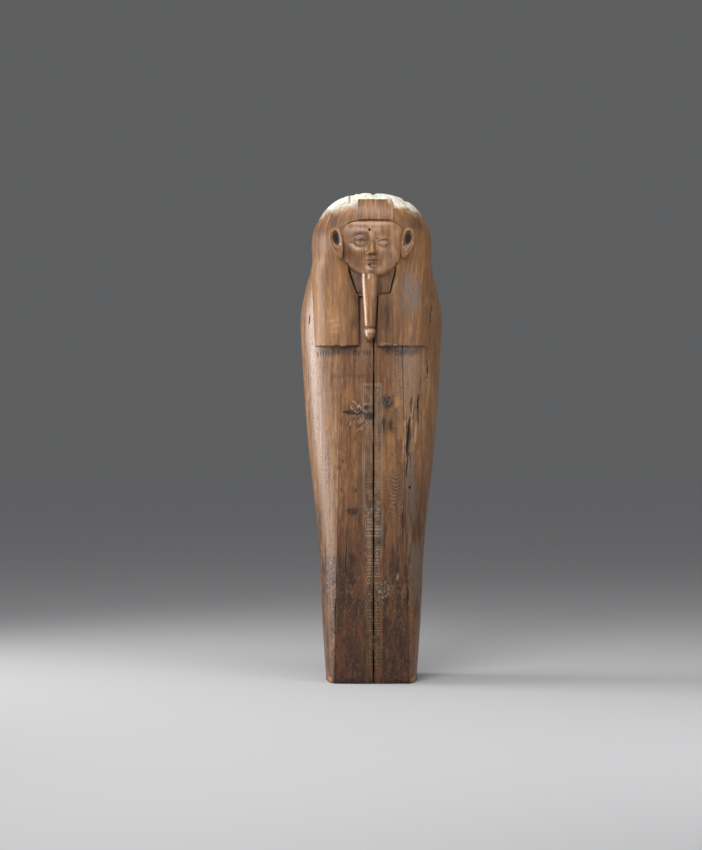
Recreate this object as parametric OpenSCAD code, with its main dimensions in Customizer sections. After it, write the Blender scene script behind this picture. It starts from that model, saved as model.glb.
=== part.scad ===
// Wooden anthropoid coffin: a plank lid with wig, face mask and beard on a flat-backed plank case.
// It stands on its foot end with its front toward -Y and +X on the viewer's right, in millimetres.
// Depths toward the front are measured from the seam plane between the lid and the case.

/* [Outline seen from the front] */
// Width at the foot
foot_w = 354; // [340:2:370]
// Width at the shins
shin_w = 388; // [376:2:400]
// Height of the shins
shin_z = 265; // [240:5:290]
// Width at the knees
knee_w = 416; // [404:2:428]
// Height of the knees
knee_z = 550; // [520:5:580]
// Width at the hips
hip_w = 494; // [480:2:508]
// Height of the hips
hip_z = 920; // [890:5:950]
// Width at the chest
chest_w = 535; // [525:1:545]
// Height of the chest
chest_z = 1200; // [1180:5:1230]
// Width at the shoulders
shoulder_w = 553; // [547:1:563]
// Height of the widest part of the shoulders
shoulder_z = 1415; // [1405:5:1425]
// Width half way up the shoulder slope
slope_w = 508; // [500:1:516]
// Height half way up the shoulder slope
slope_z = 1540; // [1535:1:1550]
// Width at the neck
neck_w = 462; // [456:1:468]
// Height of the neck
neck_z = 1622; // [1615:1:1630]
// Width of the head
head_w = 466; // [460:1:480]
// Height of the widest part of the head
head_z = 1680; // [1670:5:1690]
// Rise of the crown above the widest part of the head
head_rise = 220; // [214:2:230]

/* [Depths in front of the seam] */
// Depth of the lid at the foot
lid_foot_d = 140; // [134:1:150]
// Depth of the lid at the knees
lid_knee_d = 165; // [158:1:175]
// Depth of the lid at the chest
lid_chest_d = 215; // [208:1:218]
// Depth of the lid where the wig stands on it
lid_neck_d = 203; // [199:1:205]
// Depth of the wig at its lower edge
wig_low_d = 250; // [244:1:256]
// Greatest depth of the wig
wig_d = 275; // [270:1:282]
// Depth at which the flat back of the face mask lies
mask_seat_d = 212; // [211:1:215]
// Depth of the mask at its rim
mask_edge_d = 238; // [234:1:242]
// Depth of the mask at the cheeks
mask_cheek_d = 272; // [266:1:278]
// Depth of the tip of the nose
nose_d = 300; // [294:1:308]

/* [Planks and case] */
// Thickness of every plank
plank_t = 30; // [28:1:32]
// Depth of the case behind the seam
case_d = 200; // [190:2:220]
// Thickness of the foot boards
foot_board_t = 44; // [36:2:52]
// Height at which the head blocks of the case begin
case_head_z = 1450; // [1440:2:1480]
// Half width of the front planks at the foot
joint_foot_x = 145; // [142:1:146]
// Half width of the front planks at the chest
joint_chest_x = 118; // [112:1:122]
// Place of the joint between the front planks
centre_x = 6; // [2:1:10]
// Width of the open joint between the front planks
centre_gap = 5; // [2:1:8]
// Crown of the front planks at the foot
foot_crown = 4; // [2:1:8]
// Crown of the front planks at the chest
chest_crown = 22; // [16:1:26]
// Slope of the side planks beside the front planks at the foot
foot_bevel = 0.9; // [0.7:0.05:1]
// Slope of the side planks beside the front planks at the chest
chest_bevel = 0.4; // [0.38:0.02:0.5]

/* [Wig, face and beard] */
// Height at which the wig blocks stand on the planks
wig_z = 1590; // [1586:1:1594]
// Thickness of the wig blocks at their rim
wig_wall = 45; // [42:1:48]
// Depth of the hollow inside the wig
wig_hollow_d = 165; // [150:1:168]
// Height of the lower ends of the lappets
lappet_z = 1297; // [1280:1:1310]
// Distance from the middle to the inner edge of the left lappet
left_lappet_x = 53; // [50:1:58]
// Distance from the middle to the inner edge of the right lappet
right_lappet_x = 38; // [35:1:44]
// Distance from the middle to the outer edges of the lappets at their lower ends
lappet_outer_x = 209; // [200:1:216]
// Thickness of the lappets at their lower ends
lappet_low_t = 25; // [20:1:30]
// Width of the face mask
mask_w = 220; // [214:1:222]
// Height of the brow edge of the mask
brow_z = 1774; // [1770:1:1778]
// Height of the chin
chin_z = 1562; // [1558:1:1566]
// Height of the lower edge of the throat
throat_z = 1489; // [1470:1:1500]
// Width of the throat
throat_w = 80; // [74:1:84]
// Height of the inset patch above the brow
inset_h = 86; // [70:1:90]
// Left edge of the inset patch
inset_left_x = -53; // [-60:1:-46]
// Right edge of the inset patch
inset_right_x = 84; // [76:1:90]
// Depth of the pocket under the inset patch
inset_t = 16; // [12:1:20]
// Width of an ear
ear_w = 46; // [40:1:48]
// Height of an ear
ear_h = 116; // [104:2:124]
// Distance from the middle to the centre of an ear
ear_x = 139; // [138:1:142]
// Height of the centre of the ears
ear_z = 1692; // [1686:1:1698]
// Depth at which the flat backs of the ears lie
ear_seat_d = 225; // [220:1:228]
// Rise of an ear above the wig
ear_rise = 16; // [10:1:20]
// Width of the beard under the chin
beard_top_w = 64; // [56:1:66]
// Width of the beard above its curled tip
beard_low_w = 44; // [38:1:48]
// Width of the curled tip of the beard
beard_tip_w = 52; // [48:1:56]
// Thickness of the beard from front to back
beard_t = 40; // [34:1:42]
// Height of the lower end of the beard
beard_z = 1318; // [1312:1:1326]
// Place of the beard from side to side
beard_x = -9; // [-11:1:-7]

/* [Joinery] */
// Diameter of the dowels between planks
dowel_d = 10; // [8:1:11]
// Length of the dowels between planks
dowel_l = 34; // [28:1:36]
// Diameter of the pegs of the face, the ears, the lappets and the tenons
peg_d = 9; // [7:0.5:10]
// Height of a loose tenon
tenon_h = 62; // [50:2:70]
// Thickness of a loose tenon
tenon_t = 10; // [8:1:11]
// Length of a loose tenon across its joint
tenon_l = 88; // [76:2:92]
// Room around a piece in its hole or pocket
fit_gap = 0.4; // [0.3:0.05:0.6]
// Room around a tenon where the lid slides on it
slide_gap = 0.8; // [0.6:0.1:1.2]
// Gap between the lid and the case
seam_gap = 0.5; // [0.3:0.1:1]
// Gap between the lappets and the planks under them
lappet_gap = 0.8; // [0.7:0.05:0.95]

/* [Hidden] */
$fn = 40;

// Wood colours
brown_wood = "#8a5c38";
dark_wood = "#5e3c24";
pale_wood = "#a87c50";

// Seam plane, placed so that the depth of the whole is centred on the origin
seam_y = (nose_d - case_d) / 2;
// Top of the crown
crown_z = head_z + head_rise;
// Roundness of the head seen from the front, and of the wig seen from above
head_power = 2.3;
wig_power = 3;
// Smallest share of the head's width, kept as a small flat on the crown
crown_share = 0.13;
// Height of the upright edge of the wig at the seam
wig_rim_d = 6;
// Roundness and height of the widest part of the jaw
jaw_power = 2.4;
jaw_z = 1690;
// Height, half width and upper end of the nose
nose_z = 1668;
nose_half_w = 22;
bridge_z = 1748;
// Depth of the throat, and room that the chin takes below and above its height
throat_d = 235;
chin_below = 10;
chin_above = 14;
// Strip of wood left between the mask and the lappets
mask_border = 3;
// Thickness of the lappets' outer edges at their lower and upper ends
lappet_edge_low_t = 14;
lappet_edge_top_t = 4;
// Distance from the rim to the lappets' outer edges at their upper ends
lappet_rim = 6;
// Share of a lappet's columns that lies on the front plank, up to its joint
lappet_front_share = 5 / 16;
// How far the inset patch stands out, and room above it that its arch would need
inset_proud = 1;
inset_arch = 20;
// Heights on the beard where its tip begins and is widest
beard_taper_z = beard_z + 52;
beard_bulb_z = beard_z + 24;
// Room below the chin for the top of the beard
beard_room = 12;
// How deep a cutter reaches past the surface that it opens
cut_past = 90;
// How far pegs and dowels end below the surface
recess = 1.5;

// Rows along the height and columns across for the curved pieces
lower_rows = 20;
lappet_rows = 22;
plank_cols = 6;
side_cols = 13;
lappet_cols = 16;
wig_low_rows = 4;
wig_high_rows = 15;
wig_cols = 14;
hollow_cols = 7;
mask_cols = 20;
mask_rows = 9;
ear_rows = 12;
ear_cols = 8;
beard_rows = 18;
beard_cols = 10;
inset_rows = 8;
inset_cols = 8;
wall_rows = 24;

// Heights of the joinery
rim_tenon_zs = [180, 620, 1060, 1360];
centre_tenon_zs = [160, 420, 690, 960, 1230, 1460];
side_dowel_zs = [640, 860, 1080, 1300, 1520];
floor_tenon_zs = [200, 600, 1000, 1400, 1720];
floor_dowel_zs = [100, 400, 720, 1010, 1300, 1560, 1690];
head_dowel_ys = [50, 120];
case_foot_dowel_ys = [60, 120];
lid_foot_dowel_ds = [28, 55];
crown_dowels = [[40, 25], [140, 68]];
neck_dowel_x = 85;
neck_dowel_d = 40;
lappet_peg_x = 95;
lappet_peg_zs = [1340, 1480];
face_peg_x = -10;
face_peg_zs = [1602, 1735];
// Share of the plank's thickness at which the dowels of the side joints lie
side_dowel_share = 0.66;
// Lengths that pegs reach into the piece behind and the piece in front
peg_back = 22;
peg_front = 15;
// How far a floor dowel or a foot dowel reaches past the first plank
dowel_reach = 36;

// Smooth curve through stations of height and value, level at its upper end
function station(list, z, i = 0) = i >= len(list) - 2 || z < list[i + 1][0] ? i : station(list, z, i + 1);
function chord(list, i, k) = (list[k][1] - list[i][1]) / (list[k][0] - list[i][0]);
function slope(list, i) = i == len(list) - 1 ? 0 : i == 0 ? chord(list, 0, 1) : chord(list, i - 1, i + 1);
function curve(list, z) =
    let (i = station(list, z), h = list[i + 1][0] - list[i][0], t = (z - list[i][0]) / h)
    list[i][1] * (1 - t * t * (3 - 2 * t)) + list[i + 1][1] * t * t * (3 - 2 * t)
    + h * t * (1 - t) * (slope(list, i) * (1 - t) - slope(list, i + 1) * t);
function mix(a, b, t) = a + (b - a) * t;
function share(z, low, high) = max(0, min(1, (z - low) / (high - low)));
function smooth(t) = t * t * (3 - 2 * t);
function steps(low, high, n) = [for (i = [0 : n]) mix(low, high, i / n)];
// Point at a distance across, a depth in front of the seam and a height
function at(x, d, z) = [x, seam_y - d, z];

// Outline of the head and the body
outline = [
    [0, foot_w / 2], [shin_z, shin_w / 2], [knee_z, knee_w / 2], [hip_z, hip_w / 2], [chest_z, chest_w / 2],
    [shoulder_z, shoulder_w / 2], [slope_z, slope_w / 2], [neck_z, neck_w / 2], [head_z, head_w / 2]
];
function head_share(z, rise) =
    max(crown_share, pow(max(0, 1 - pow(max(0, z - head_z) / rise, head_power)), 1 / head_power));
function half_w(z, wall = 0) =
    z <= head_z ? curve(outline, z) - wall : (head_w / 2 - wall) * head_share(z, head_rise - wall);
function head_zs(wall = 0) =
    [for (i = [0 : wig_high_rows]) head_z + (head_rise - wall) * pow(sin(90 * i / wig_high_rows), 2 / head_power)];

// Cross-section of the lid's planks
lid_depths = [[0, lid_foot_d], [knee_z, lid_knee_d], [chest_z, lid_chest_d], [wig_z, lid_neck_d]];
function lid_d(z) = curve(lid_depths, z);
function joint_x(z) = mix(joint_foot_x, joint_chest_x, z / chest_z);
function crown(z) = mix(foot_crown, chest_crown, share(z, 0, chest_z));
function bevel(z) = mix(foot_bevel, chest_bevel, share(z, 0, chest_z));
function joint_d(z) = lid_d(z) - crown(z);
function front_d(x, z) = lid_d(z) - crown(z) * pow(x / joint_x(z), 2);
// Point of a side plank's section, from its joint at 0 to the seam at 1
function side_pt(t, z, inset = 0) =
    let (
        w = half_w(z) - inset,
        j = joint_x(z),
        d = joint_d(z) - inset,
        knee = d - bevel(z) * (w - j),
        u = 1 - t
    )
    [u * u * j + (1 - u * u) * w, u * u * d + 2 * t * u * knee + t * t * seam_gap];
// Point of the whole section, from the middle at 0 over the joint at 1 to the seam at 2
function section_pt(s, z) = s < 1 ? [s * joint_x(z), front_d(s * joint_x(z), z)] : side_pt(s - 1, z);
function section_place(x, z) =
    x <= joint_x(z) ? x / joint_x(z) : 2 - sqrt(max(0, half_w(z) - x) / (half_w(z) - joint_x(z)));
section_step = 0.01;
function section_out(s, z) =
    let (run = section_pt(s + section_step, z) - section_pt(s - section_step, z))
    [-run[1], run[0]] / norm(run);
function section_off(s, z, off) = section_pt(s, z) + section_out(s, z) * off;
lappet_zs = steps(lappet_z, wig_z, lappet_rows);
lid_zs = concat([for (i = [0 : lower_rows - 1]) lappet_z * i / lower_rows], lappet_zs);

// Surface of the wig
function wig_depth(z) =
    z < head_z ? mix(wig_low_d, wig_d, smooth(share(z, wig_z, head_z))) : wig_d * head_share(z, head_rise);
function wig_face(x, z) =
    wig_rim_d + (wig_depth(z) - wig_rim_d)
    * pow(max(0, 1 - pow(min(1, abs(x) / half_w(z)), wig_power)), 1 / wig_power);
wig_zs = concat([for (i = [0 : wig_low_rows - 1]) mix(wig_z, head_z, i / wig_low_rows)], head_zs());
// Row of points over a dome of given half width and depth, from one place across to its right edge
function dome_row(start, w, d, z, cols) =
    let (first = sign(start) * asin(pow(min(1, abs(start) / w), wig_power / 2)))
    [for (a = steps(first, 90, cols))
        at(sign(a) * w * pow(abs(sin(a)), 2 / wig_power), mix(wig_rim_d, d, pow(cos(a), 2 / wig_power)), z)];

// Outline and surface of the mask
function jaw_w(z) =
    mask_w / 2 * pow(max(0, 1 - pow(max(0, jaw_z - z) / (jaw_z - chin_z), jaw_power)), 1 / jaw_power);
function mask_side(side, z) = max(throat_w / 2 + side * beard_x, jaw_w(z));
mask_zs = concat(
    steps(throat_z, chin_z - chin_below, 3), steps(chin_z, nose_z, mask_rows),
    [for (i = [1 : mask_rows]) mix(nose_z, brow_z, i / mask_rows)]
);
function nose(x, z) =
    max(0, 1 - pow(x / nose_half_w, 2)) * share(z, bridge_z, nose_z) * share(z, nose_z - nose_half_w, nose_z);
function mask_front(x, z) =
    let (
        side = mask_side(sign(x), z),
        swell = 1 - pow(min(1, abs(x) / side), wig_power),
        fall = 1 - 0.7 * pow(share(z, nose_z, brow_z), 2),
        face = mix(mask_edge_d, mask_cheek_d, swell * fall) + (nose_d - mask_cheek_d) * nose(x, z)
    )
    mix(throat_d, face, smooth(share(z, chin_z - chin_below, chin_z + chin_above)));

// Outline of an ear and of the inset patch
function ear_half(z) = ear_w / 2 * pow(max(0, 1 - pow(abs(z - ear_z) / (ear_h / 2 + 1), 3)), 1 / 3);
ear_zs = steps(ear_z - ear_h / 2, ear_z + ear_h / 2, ear_rows);
inset_mid = (inset_left_x + inset_right_x) / 2;
function inset_half(z) =
    (inset_right_x - inset_left_x) / 2
    * pow(1 - pow(share(z, brow_z, brow_z + inset_h + inset_arch), 4), 1 / 4);

// Width and depth of the beard
beard_top_z = chin_z - beard_room;
function beard_half(z) =
    z > beard_taper_z ? mix(beard_low_w, beard_top_w, share(z, beard_taper_z, beard_top_z)) / 2
    : z > beard_bulb_z ? mix(beard_tip_w, beard_low_w, smooth(share(z, beard_bulb_z, beard_taper_z))) / 2
    : mix(beard_tip_w / 3, beard_tip_w / 2, sqrt(share(z, beard_z, beard_bulb_z)));
function beard_mid(z) =
    beard_t / 2 + fit_gap
    + mix(front_d(beard_x, beard_z), throat_d, share(z, beard_z, throat_z));
function beard_round(x, z) = beard_t / 2 * max(0.3, sqrt(max(0, 1 - pow((x - beard_x) / beard_half(z), 2))));

// Closed solid between two grids of points, rows going up and columns going right seen from the front
module skin(front, back) {
    rows = len(front);
    cols = len(front[0]);
    function f(r, c) = r * cols + c;
    function b(r, c) = (rows + r) * cols + c;
    function quad(p, q, s, t) = [[p, q, s], [p, s, t]];
    across = [for (r = [0 : rows - 2], c = [0 : cols - 2]) [r, c]];
    polyhedron(
        points = [for (row = concat(front, back)) each row],
        faces = concat(
            [for (p = across) each quad(f(p[0], p[1]), f(p[0] + 1, p[1]), f(p[0] + 1, p[1] + 1), f(p[0], p[1] + 1))],
            [for (p = across) each quad(b(p[0] + 1, p[1] + 1), b(p[0] + 1, p[1]), b(p[0], p[1]), b(p[0], p[1] + 1))],
            [for (r = [0 : rows - 2]) each quad(b(r, 0), b(r + 1, 0), f(r + 1, 0), f(r, 0))],
            [for (r = [0 : rows - 2]) each quad(f(r, cols - 1), f(r + 1, cols - 1), b(r + 1, cols - 1), b(r, cols - 1))],
            [for (c = [0 : cols - 2]) each quad(f(rows - 1, c), b(rows - 1, c), b(rows - 1, c + 1), f(rows - 1, c + 1))],
            [for (c = [0 : cols - 2]) each quad(f(0, c), f(0, c + 1), b(0, c + 1), b(0, c))]
        )
    );
}

// Solid between two depths over the strip from left to right at each height
module relief(zs, left, right, cols, front, back) {
    function grid(depth) =
        [for (z = zs) [for (x = steps(left(z), right(z), cols)) at(x, depth(x, z), z)]];
    skin(grid(front), grid(back));
}

// Prism from one depth toward the front over an outline of the same kind of strip
module pocket(zs, left, right, depth) {
    sides = concat([for (z = zs) [left(z), z]], [for (i = [len(zs) - 1 : -1 : 0]) [right(zs[i]), zs[i]]]);
    translate([0, seam_y - depth, 0])
        rotate([90, 0, 0])
            linear_extrude(cut_past)
                polygon(sides);
}

// Round rod along one axis, centred on a point
module rod(point, axis, d, l) {
    translate(point)
        rotate(axis == "x" ? [0, 90, 0] : axis == "y" ? [90, 0, 0] : [0, 0, 0])
            cylinder(d = d, h = l, center = true);
}

// A rod for each point, or its hole when given room
module rods(points, axis, d, l, room = 0) {
    for (p = points) rod(p, axis, d + 2 * room, l + 2 * room);
}

// A block for each point, or its mortise when given room
module bars(points, size, room = 0) {
    for (p = points) translate(p) cube([for (s = size) s + 2 * room], center = true);
}

// Places of the joinery
sides = [-1, 1];
rim_tenon_at = [for (s = sides, z = rim_tenon_zs) at(s * (half_w(z) - plank_t / 2), 0, z)];
rim_tenon_size = [tenon_t, tenon_l, tenon_h];
rim_peg_at = [for (p = rim_tenon_at) p + [0, tenon_l / 4, 0]];
centre_tenon_at = [for (z = centre_tenon_zs) at(centre_x, lid_d(z) - plank_t / 2, z)];
floor_tenon_at = [for (z = floor_tenon_zs) at(0, plank_t / 2 - case_d, z)];
flat_tenon_size = [tenon_l, tenon_t, tenon_h];
side_dowel_at =
    [for (s = sides, z = side_dowel_zs) at(s * joint_x(z), joint_d(z) - plank_t * side_dowel_share, z)];
floor_dowel_l = plank_t + dowel_reach;
floor_dowel_at = [
    for (s = sides, z = floor_dowel_zs)
        at(s * (half_w(z) - plank_t / 2), floor_dowel_l / 2 + recess - case_d, z)
];
head_side_dowel_at =
    [for (s = sides, y = head_dowel_ys) at(s * (half_w(case_head_z) - plank_t / 2), -y, case_head_z)];
head_top_dowel_at = [for (y = head_dowel_ys) at(0, -y, crown_z - plank_t / 2)];
foot_dowel_z = foot_board_t / 2;
foot_dowel_l = 2 * plank_t;
function foot_dowel_at(ds, drop) =
    [for (s = sides, d = ds) at(s * (half_w(foot_dowel_z) - plank_t - drop), d, foot_dowel_z)];
case_foot_dowel_at = foot_dowel_at(-case_foot_dowel_ys, recess);
lid_foot_dowel_at = foot_dowel_at(lid_foot_dowel_ds, 3 * recess);
neck_dowel_at = [
    for (s = sides) each [
        at(s * neck_dowel_x, front_d(neck_dowel_x, wig_z) - plank_t / 2, wig_z),
        at(s * (half_w(wig_z) - plank_t / 2 - recess), neck_dowel_d, wig_z)
    ]
];
crown_dowel_at = [for (p = crown_dowels) at(centre_x, p[0], crown_z - p[1])];
lappet_peg_at = [
    for (s = sides, z = lappet_peg_zs)
        at(s * lappet_peg_x, front_d(lappet_peg_x, z) + (peg_front - peg_back) / 2, z)
];
ear_peg_at = [for (s = sides) at(s * ear_x, ear_seat_d + (peg_front - peg_back) / 2, ear_z)];
peg_l = peg_back + peg_front;
beard_peg_at = at(beard_x, beard_mid(beard_top_z), beard_top_z + chin_above / 2);
beard_peg_l = 2 * dowel_l;

// Case
module case_floor_plank(side) {
    zs = concat(steps(0, case_head_z, wall_rows), steps(case_head_z, head_z, wig_low_rows), head_zs());
    edge = [for (z = zs) [side * half_w(z), z]];
    difference() {
        translate([0, seam_y + case_d, 0])
            rotate([90, 0, 0])
                linear_extrude(plank_t)
                    polygon(concat([[0, 0]], edge, [[0, crown_z]]));
        bars(floor_tenon_at, flat_tenon_size, fit_gap);
        rods([for (p = floor_dowel_at) p + [0, recess, 0]], "y", dowel_d + 2 * fit_gap, floor_dowel_l);
    }
}

module case_wall(points) {
    translate([0, seam_y + case_d - plank_t, 0])
        rotate([90, 0, 0])
            linear_extrude(case_d - plank_t)
                polygon(points);
}

module case_side_plank(side) {
    zs = steps(0, case_head_z, wall_rows);
    outer = [for (z = zs) [side * half_w(z), z]];
    inner = [for (i = [wall_rows : -1 : 0]) [side * half_w(zs[i], plank_t), zs[i]]];
    difference() {
        case_wall(concat(outer, inner));
        bars(rim_tenon_at, rim_tenon_size, fit_gap);
        rods(rim_peg_at, "x", peg_d + 2 * fit_gap, plank_t + 2 * dowel_reach);
        rods(floor_dowel_at, "y", dowel_d, floor_dowel_l, fit_gap);
        rods(head_side_dowel_at, "z", dowel_d, dowel_l, fit_gap);
        rods(case_foot_dowel_at, "x", dowel_d + 2 * fit_gap, foot_dowel_l + 2 * plank_t);
    }
}

module case_head_block(side) {
    low_zs = [for (i = [0 : wig_low_rows - 1]) mix(case_head_z, head_z, i / wig_low_rows)];
    outer = [for (z = concat(low_zs, head_zs())) [side * half_w(z), z]];
    inner = [for (z = concat(low_zs, head_zs(plank_t))) [side * half_w(z, plank_t), z]];
    last = len(inner) - 1;
    top = [[0, crown_z], [0, crown_z - plank_t]];
    difference() {
        case_wall(concat(outer, top, [for (i = [last : -1 : 0]) inner[i]]));
        rods(floor_dowel_at, "y", dowel_d, floor_dowel_l, fit_gap);
        rods(head_side_dowel_at, "z", dowel_d, dowel_l, fit_gap);
        rods(head_top_dowel_at, "x", dowel_d, dowel_l, fit_gap);
    }
}

module case_left_floor_plank() {
    color(brown_wood) case_floor_plank(-1);
}

module case_right_floor_plank() {
    color(brown_wood) case_floor_plank(1);
}

module case_left_side_plank() {
    color(brown_wood) case_side_plank(-1);
}

module case_right_side_plank() {
    color(brown_wood) case_side_plank(1);
}

module case_left_head_block() {
    color(brown_wood) case_head_block(-1);
}

module case_right_head_block() {
    color(brown_wood) case_head_block(1);
}

module case_foot_board() {
    low = half_w(0, plank_t) - fit_gap;
    high = half_w(foot_board_t, plank_t) - fit_gap;
    color(dark_wood)
        difference() {
            case_wall([[-low, 0], [low, 0], [high, foot_board_t], [-high, foot_board_t]]);
            rods(case_foot_dowel_at, "x", dowel_d, foot_dowel_l, fit_gap);
        }
}

module case_floor_tenons() {
    color(pale_wood) bars(floor_tenon_at, flat_tenon_size);
}

module case_floor_dowels() {
    color(pale_wood) rods(floor_dowel_at, "y", dowel_d, floor_dowel_l);
}

module case_head_dowels() {
    color(pale_wood) {
        rods(head_side_dowel_at, "z", dowel_d, dowel_l);
        rods(head_top_dowel_at, "x", dowel_d, dowel_l);
    }
}

module case_foot_dowels() {
    color(pale_wood) rods(case_foot_dowel_at, "x", dowel_d, foot_dowel_l);
}

module rim_tenons() {
    color(pale_wood)
        difference() {
            bars(rim_tenon_at, rim_tenon_size);
            rods(rim_peg_at, "x", peg_d + 2 * fit_gap, 2 * tenon_t);
        }
}

module rim_tenon_pegs() {
    color(dark_wood) rods(rim_peg_at, "x", peg_d, plank_t - 2 * recess);
}

// Lid
module lid_front_plank(left, right) {
    difference() {
        relief(
            lid_zs, left, right, plank_cols,
            function (x, z) front_d(x, z),
            function (x, z) front_d(x, z) - plank_t
        );
        bars(centre_tenon_at, flat_tenon_size, fit_gap);
        rods(side_dowel_at, "x", dowel_d, dowel_l, fit_gap);
        rods(neck_dowel_at, "z", dowel_d, dowel_l, fit_gap);
        rods(lappet_peg_at, "y", peg_d, peg_l, fit_gap);
    }
}

module lid_side_plank(side) {
    function grid(inset) =
        [for (z = lid_zs) [for (t = steps(0, 1, side_cols)) let (p = side_pt(t, z, inset)) at(p[0], p[1], z)]];
    difference() {
        mirror([side < 0 ? 1 : 0, 0, 0]) skin(grid(0), grid(plank_t));
        bars(rim_tenon_at, rim_tenon_size, slide_gap);
        rods(side_dowel_at, "x", dowel_d, dowel_l, fit_gap);
        rods(neck_dowel_at, "z", dowel_d, dowel_l, fit_gap);
        rods(lid_foot_dowel_at, "x", dowel_d + 2 * fit_gap, foot_dowel_l + 2 * plank_t);
    }
}

module lid_left_front_plank() {
    color(brown_wood)
        lid_front_plank(function (z) -joint_x(z), function (z) centre_x - centre_gap / 2);
}

module lid_right_front_plank() {
    color(brown_wood)
        lid_front_plank(function (z) centre_x + centre_gap / 2, function (z) joint_x(z));
}

module lid_left_side_plank() {
    color(brown_wood) lid_side_plank(-1);
}

module lid_right_side_plank() {
    color(brown_wood) lid_side_plank(1);
}

module lid_foot_board() {
    inset = plank_t + fit_gap;
    round_side = [for (t = steps(1, 0, side_cols)) side_pt(t, 0, inset)];
    flat_front = [for (x = steps(joint_x(0), -joint_x(0), 2 * plank_cols)) [x, front_d(x, 0) - inset]];
    far_side = [for (i = [side_cols - 1 : -1 : 0]) [-round_side[i][0], round_side[i][1]]];
    edge = concat(round_side, [for (i = [1 : 2 * plank_cols]) flat_front[i]], far_side);
    color(dark_wood)
        difference() {
            linear_extrude(foot_board_t)
                polygon([for (p = edge) [p[0], seam_y - p[1]]]);
            rods(lid_foot_dowel_at, "x", dowel_d, foot_dowel_l, fit_gap);
        }
}

module lid_centre_tenons() {
    color(pale_wood) bars(centre_tenon_at, flat_tenon_size);
}

module lid_side_dowels() {
    color(pale_wood) rods(side_dowel_at, "x", dowel_d, dowel_l);
}

module lid_foot_dowels() {
    color(pale_wood) rods(lid_foot_dowel_at, "x", dowel_d, foot_dowel_l);
}

// Wig
module wig_hollow() {
    low_zs = [for (i = [-1 : wig_low_rows - 1]) mix(wig_z, head_z, i / wig_low_rows)];
    zs = concat(low_zs, head_zs(wig_wall));
    rows = [
        for (z = zs) let (
            w = half_w(z, wig_wall),
            d = wig_hollow_d * head_share(z, head_rise - wig_wall)
        ) dome_row(0, w, d, z, hollow_cols)
    ];
    front = [for (r = rows) concat([for (i = [hollow_cols : -1 : 1]) [-r[i][0], r[i][1], r[i][2]]], r)];
    back = [for (r = front) [for (p = r) [p[0], seam_y + cut_past, p[2]]]];
    skin(front, back);
}

module ear_strip(side, room, depth) {
    low = ear_zs[0];
    high = ear_zs[ear_rows];
    function half(z) = ear_half(max(low, min(high, z))) + room;
    pocket(
        concat([low - room], [for (i = [1 : ear_rows - 1]) ear_zs[i]], [high + room]),
        function (z) side * ear_x - half(z),
        function (z) side * ear_x + half(z),
        depth
    );
}

module mask_pocket() {
    zs = concat([wig_z - cut_past], [for (z = mask_zs) if (z > wig_z && z < brow_z) z], [brow_z + fit_gap]);
    pocket(
        zs,
        function (z) -mask_side(-1, max(z, wig_z)) - fit_gap,
        function (z) mask_side(1, max(z, wig_z)) + fit_gap,
        mask_seat_d
    );
}

module inset_block(low_z, room, front, back) {
    relief(
        concat([low_z], steps(brow_z + 2 * fit_gap, brow_z + inset_h + room, inset_rows)),
        function (z) inset_mid - inset_half(z) - room,
        function (z) inset_mid + inset_half(z) + room,
        inset_cols,
        function (x, z) wig_face(x, z) + front,
        function (x, z) wig_face(x, z) - back
    );
}

module wig_block(side) {
    rows = [for (z = wig_zs) dome_row(side * centre_x, half_w(z), wig_depth(z), z, wig_cols)];
    flat = [for (r = rows) [for (p = r) [p[0], seam_y - seam_gap, p[2]]]];
    difference() {
        mirror([side < 0 ? 1 : 0, 0, 0]) skin(rows, flat);
        wig_hollow();
        mask_pocket();
        ear_strip(side, fit_gap, ear_seat_d);
        inset_block(brow_z - dowel_d, fit_gap, cut_past, inset_t + fit_gap);
        rods(neck_dowel_at, "z", dowel_d, dowel_l, fit_gap);
        rods(crown_dowel_at, "x", dowel_d, dowel_l, fit_gap);
        rods(face_peg_hole_at, "y", peg_d + 2 * fit_gap, face_peg_hole_l);
        rods(ear_peg_at, "y", peg_d, peg_l, fit_gap);
    }
}

module left_wig_block() {
    color(brown_wood) wig_block(-1);
}

module right_wig_block() {
    color(brown_wood) wig_block(1);
}

module wig_neck_dowels() {
    color(pale_wood) rods(neck_dowel_at, "z", dowel_d, dowel_l);
}

module wig_crown_dowels() {
    color(pale_wood) rods(crown_dowel_at, "x", dowel_d, dowel_l);
}

module lappet(side, inner_x) {
    function outer_edge(z) = mix(lappet_outer_x, half_w(wig_z) - lappet_rim, share(z, lappet_z, wig_z));
    function inner_edge(z) = max(inner_x, mask_side(side, z) + mask_border);
    function full_t(z) = mix(lappet_low_t, wig_low_d - lid_neck_d, share(z, lappet_z, wig_z));
    function edge_t(z) = mix(lappet_edge_low_t, lappet_edge_top_t, share(z, lappet_z, wig_z));
    function thickness(u, z) = mix(edge_t(z), full_t(z), sin(90 * min(1, 2 * (1 - u))));
    function place(u, z) =
        u < lappet_front_share
        ? mix(section_place(inner_edge(z), z), 1, u / lappet_front_share)
        : mix(1, section_place(outer_edge(z), z), share(u, lappet_front_share, 1));
    function grid(off) = [
        for (z = lappet_zs) [
            for (u = steps(0, 1, lappet_cols)) let (p = section_off(place(u, z), z, off(u, z))) at(p[0], p[1], z)
        ]
    ];
    difference() {
        mirror([side < 0 ? 1 : 0, 0, 0])
            skin(grid(function (u, z) thickness(u, z)), grid(function (u, z) lappet_gap));
        rods(lappet_peg_at, "y", peg_d, peg_l, fit_gap);
    }
}

module left_lappet() {
    color(brown_wood) lappet(-1, left_lappet_x);
}

module right_lappet() {
    color(brown_wood) lappet(1, right_lappet_x);
}

module lappet_pegs() {
    color(dark_wood) rods(lappet_peg_at, "y", peg_d, peg_l);
}

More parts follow.
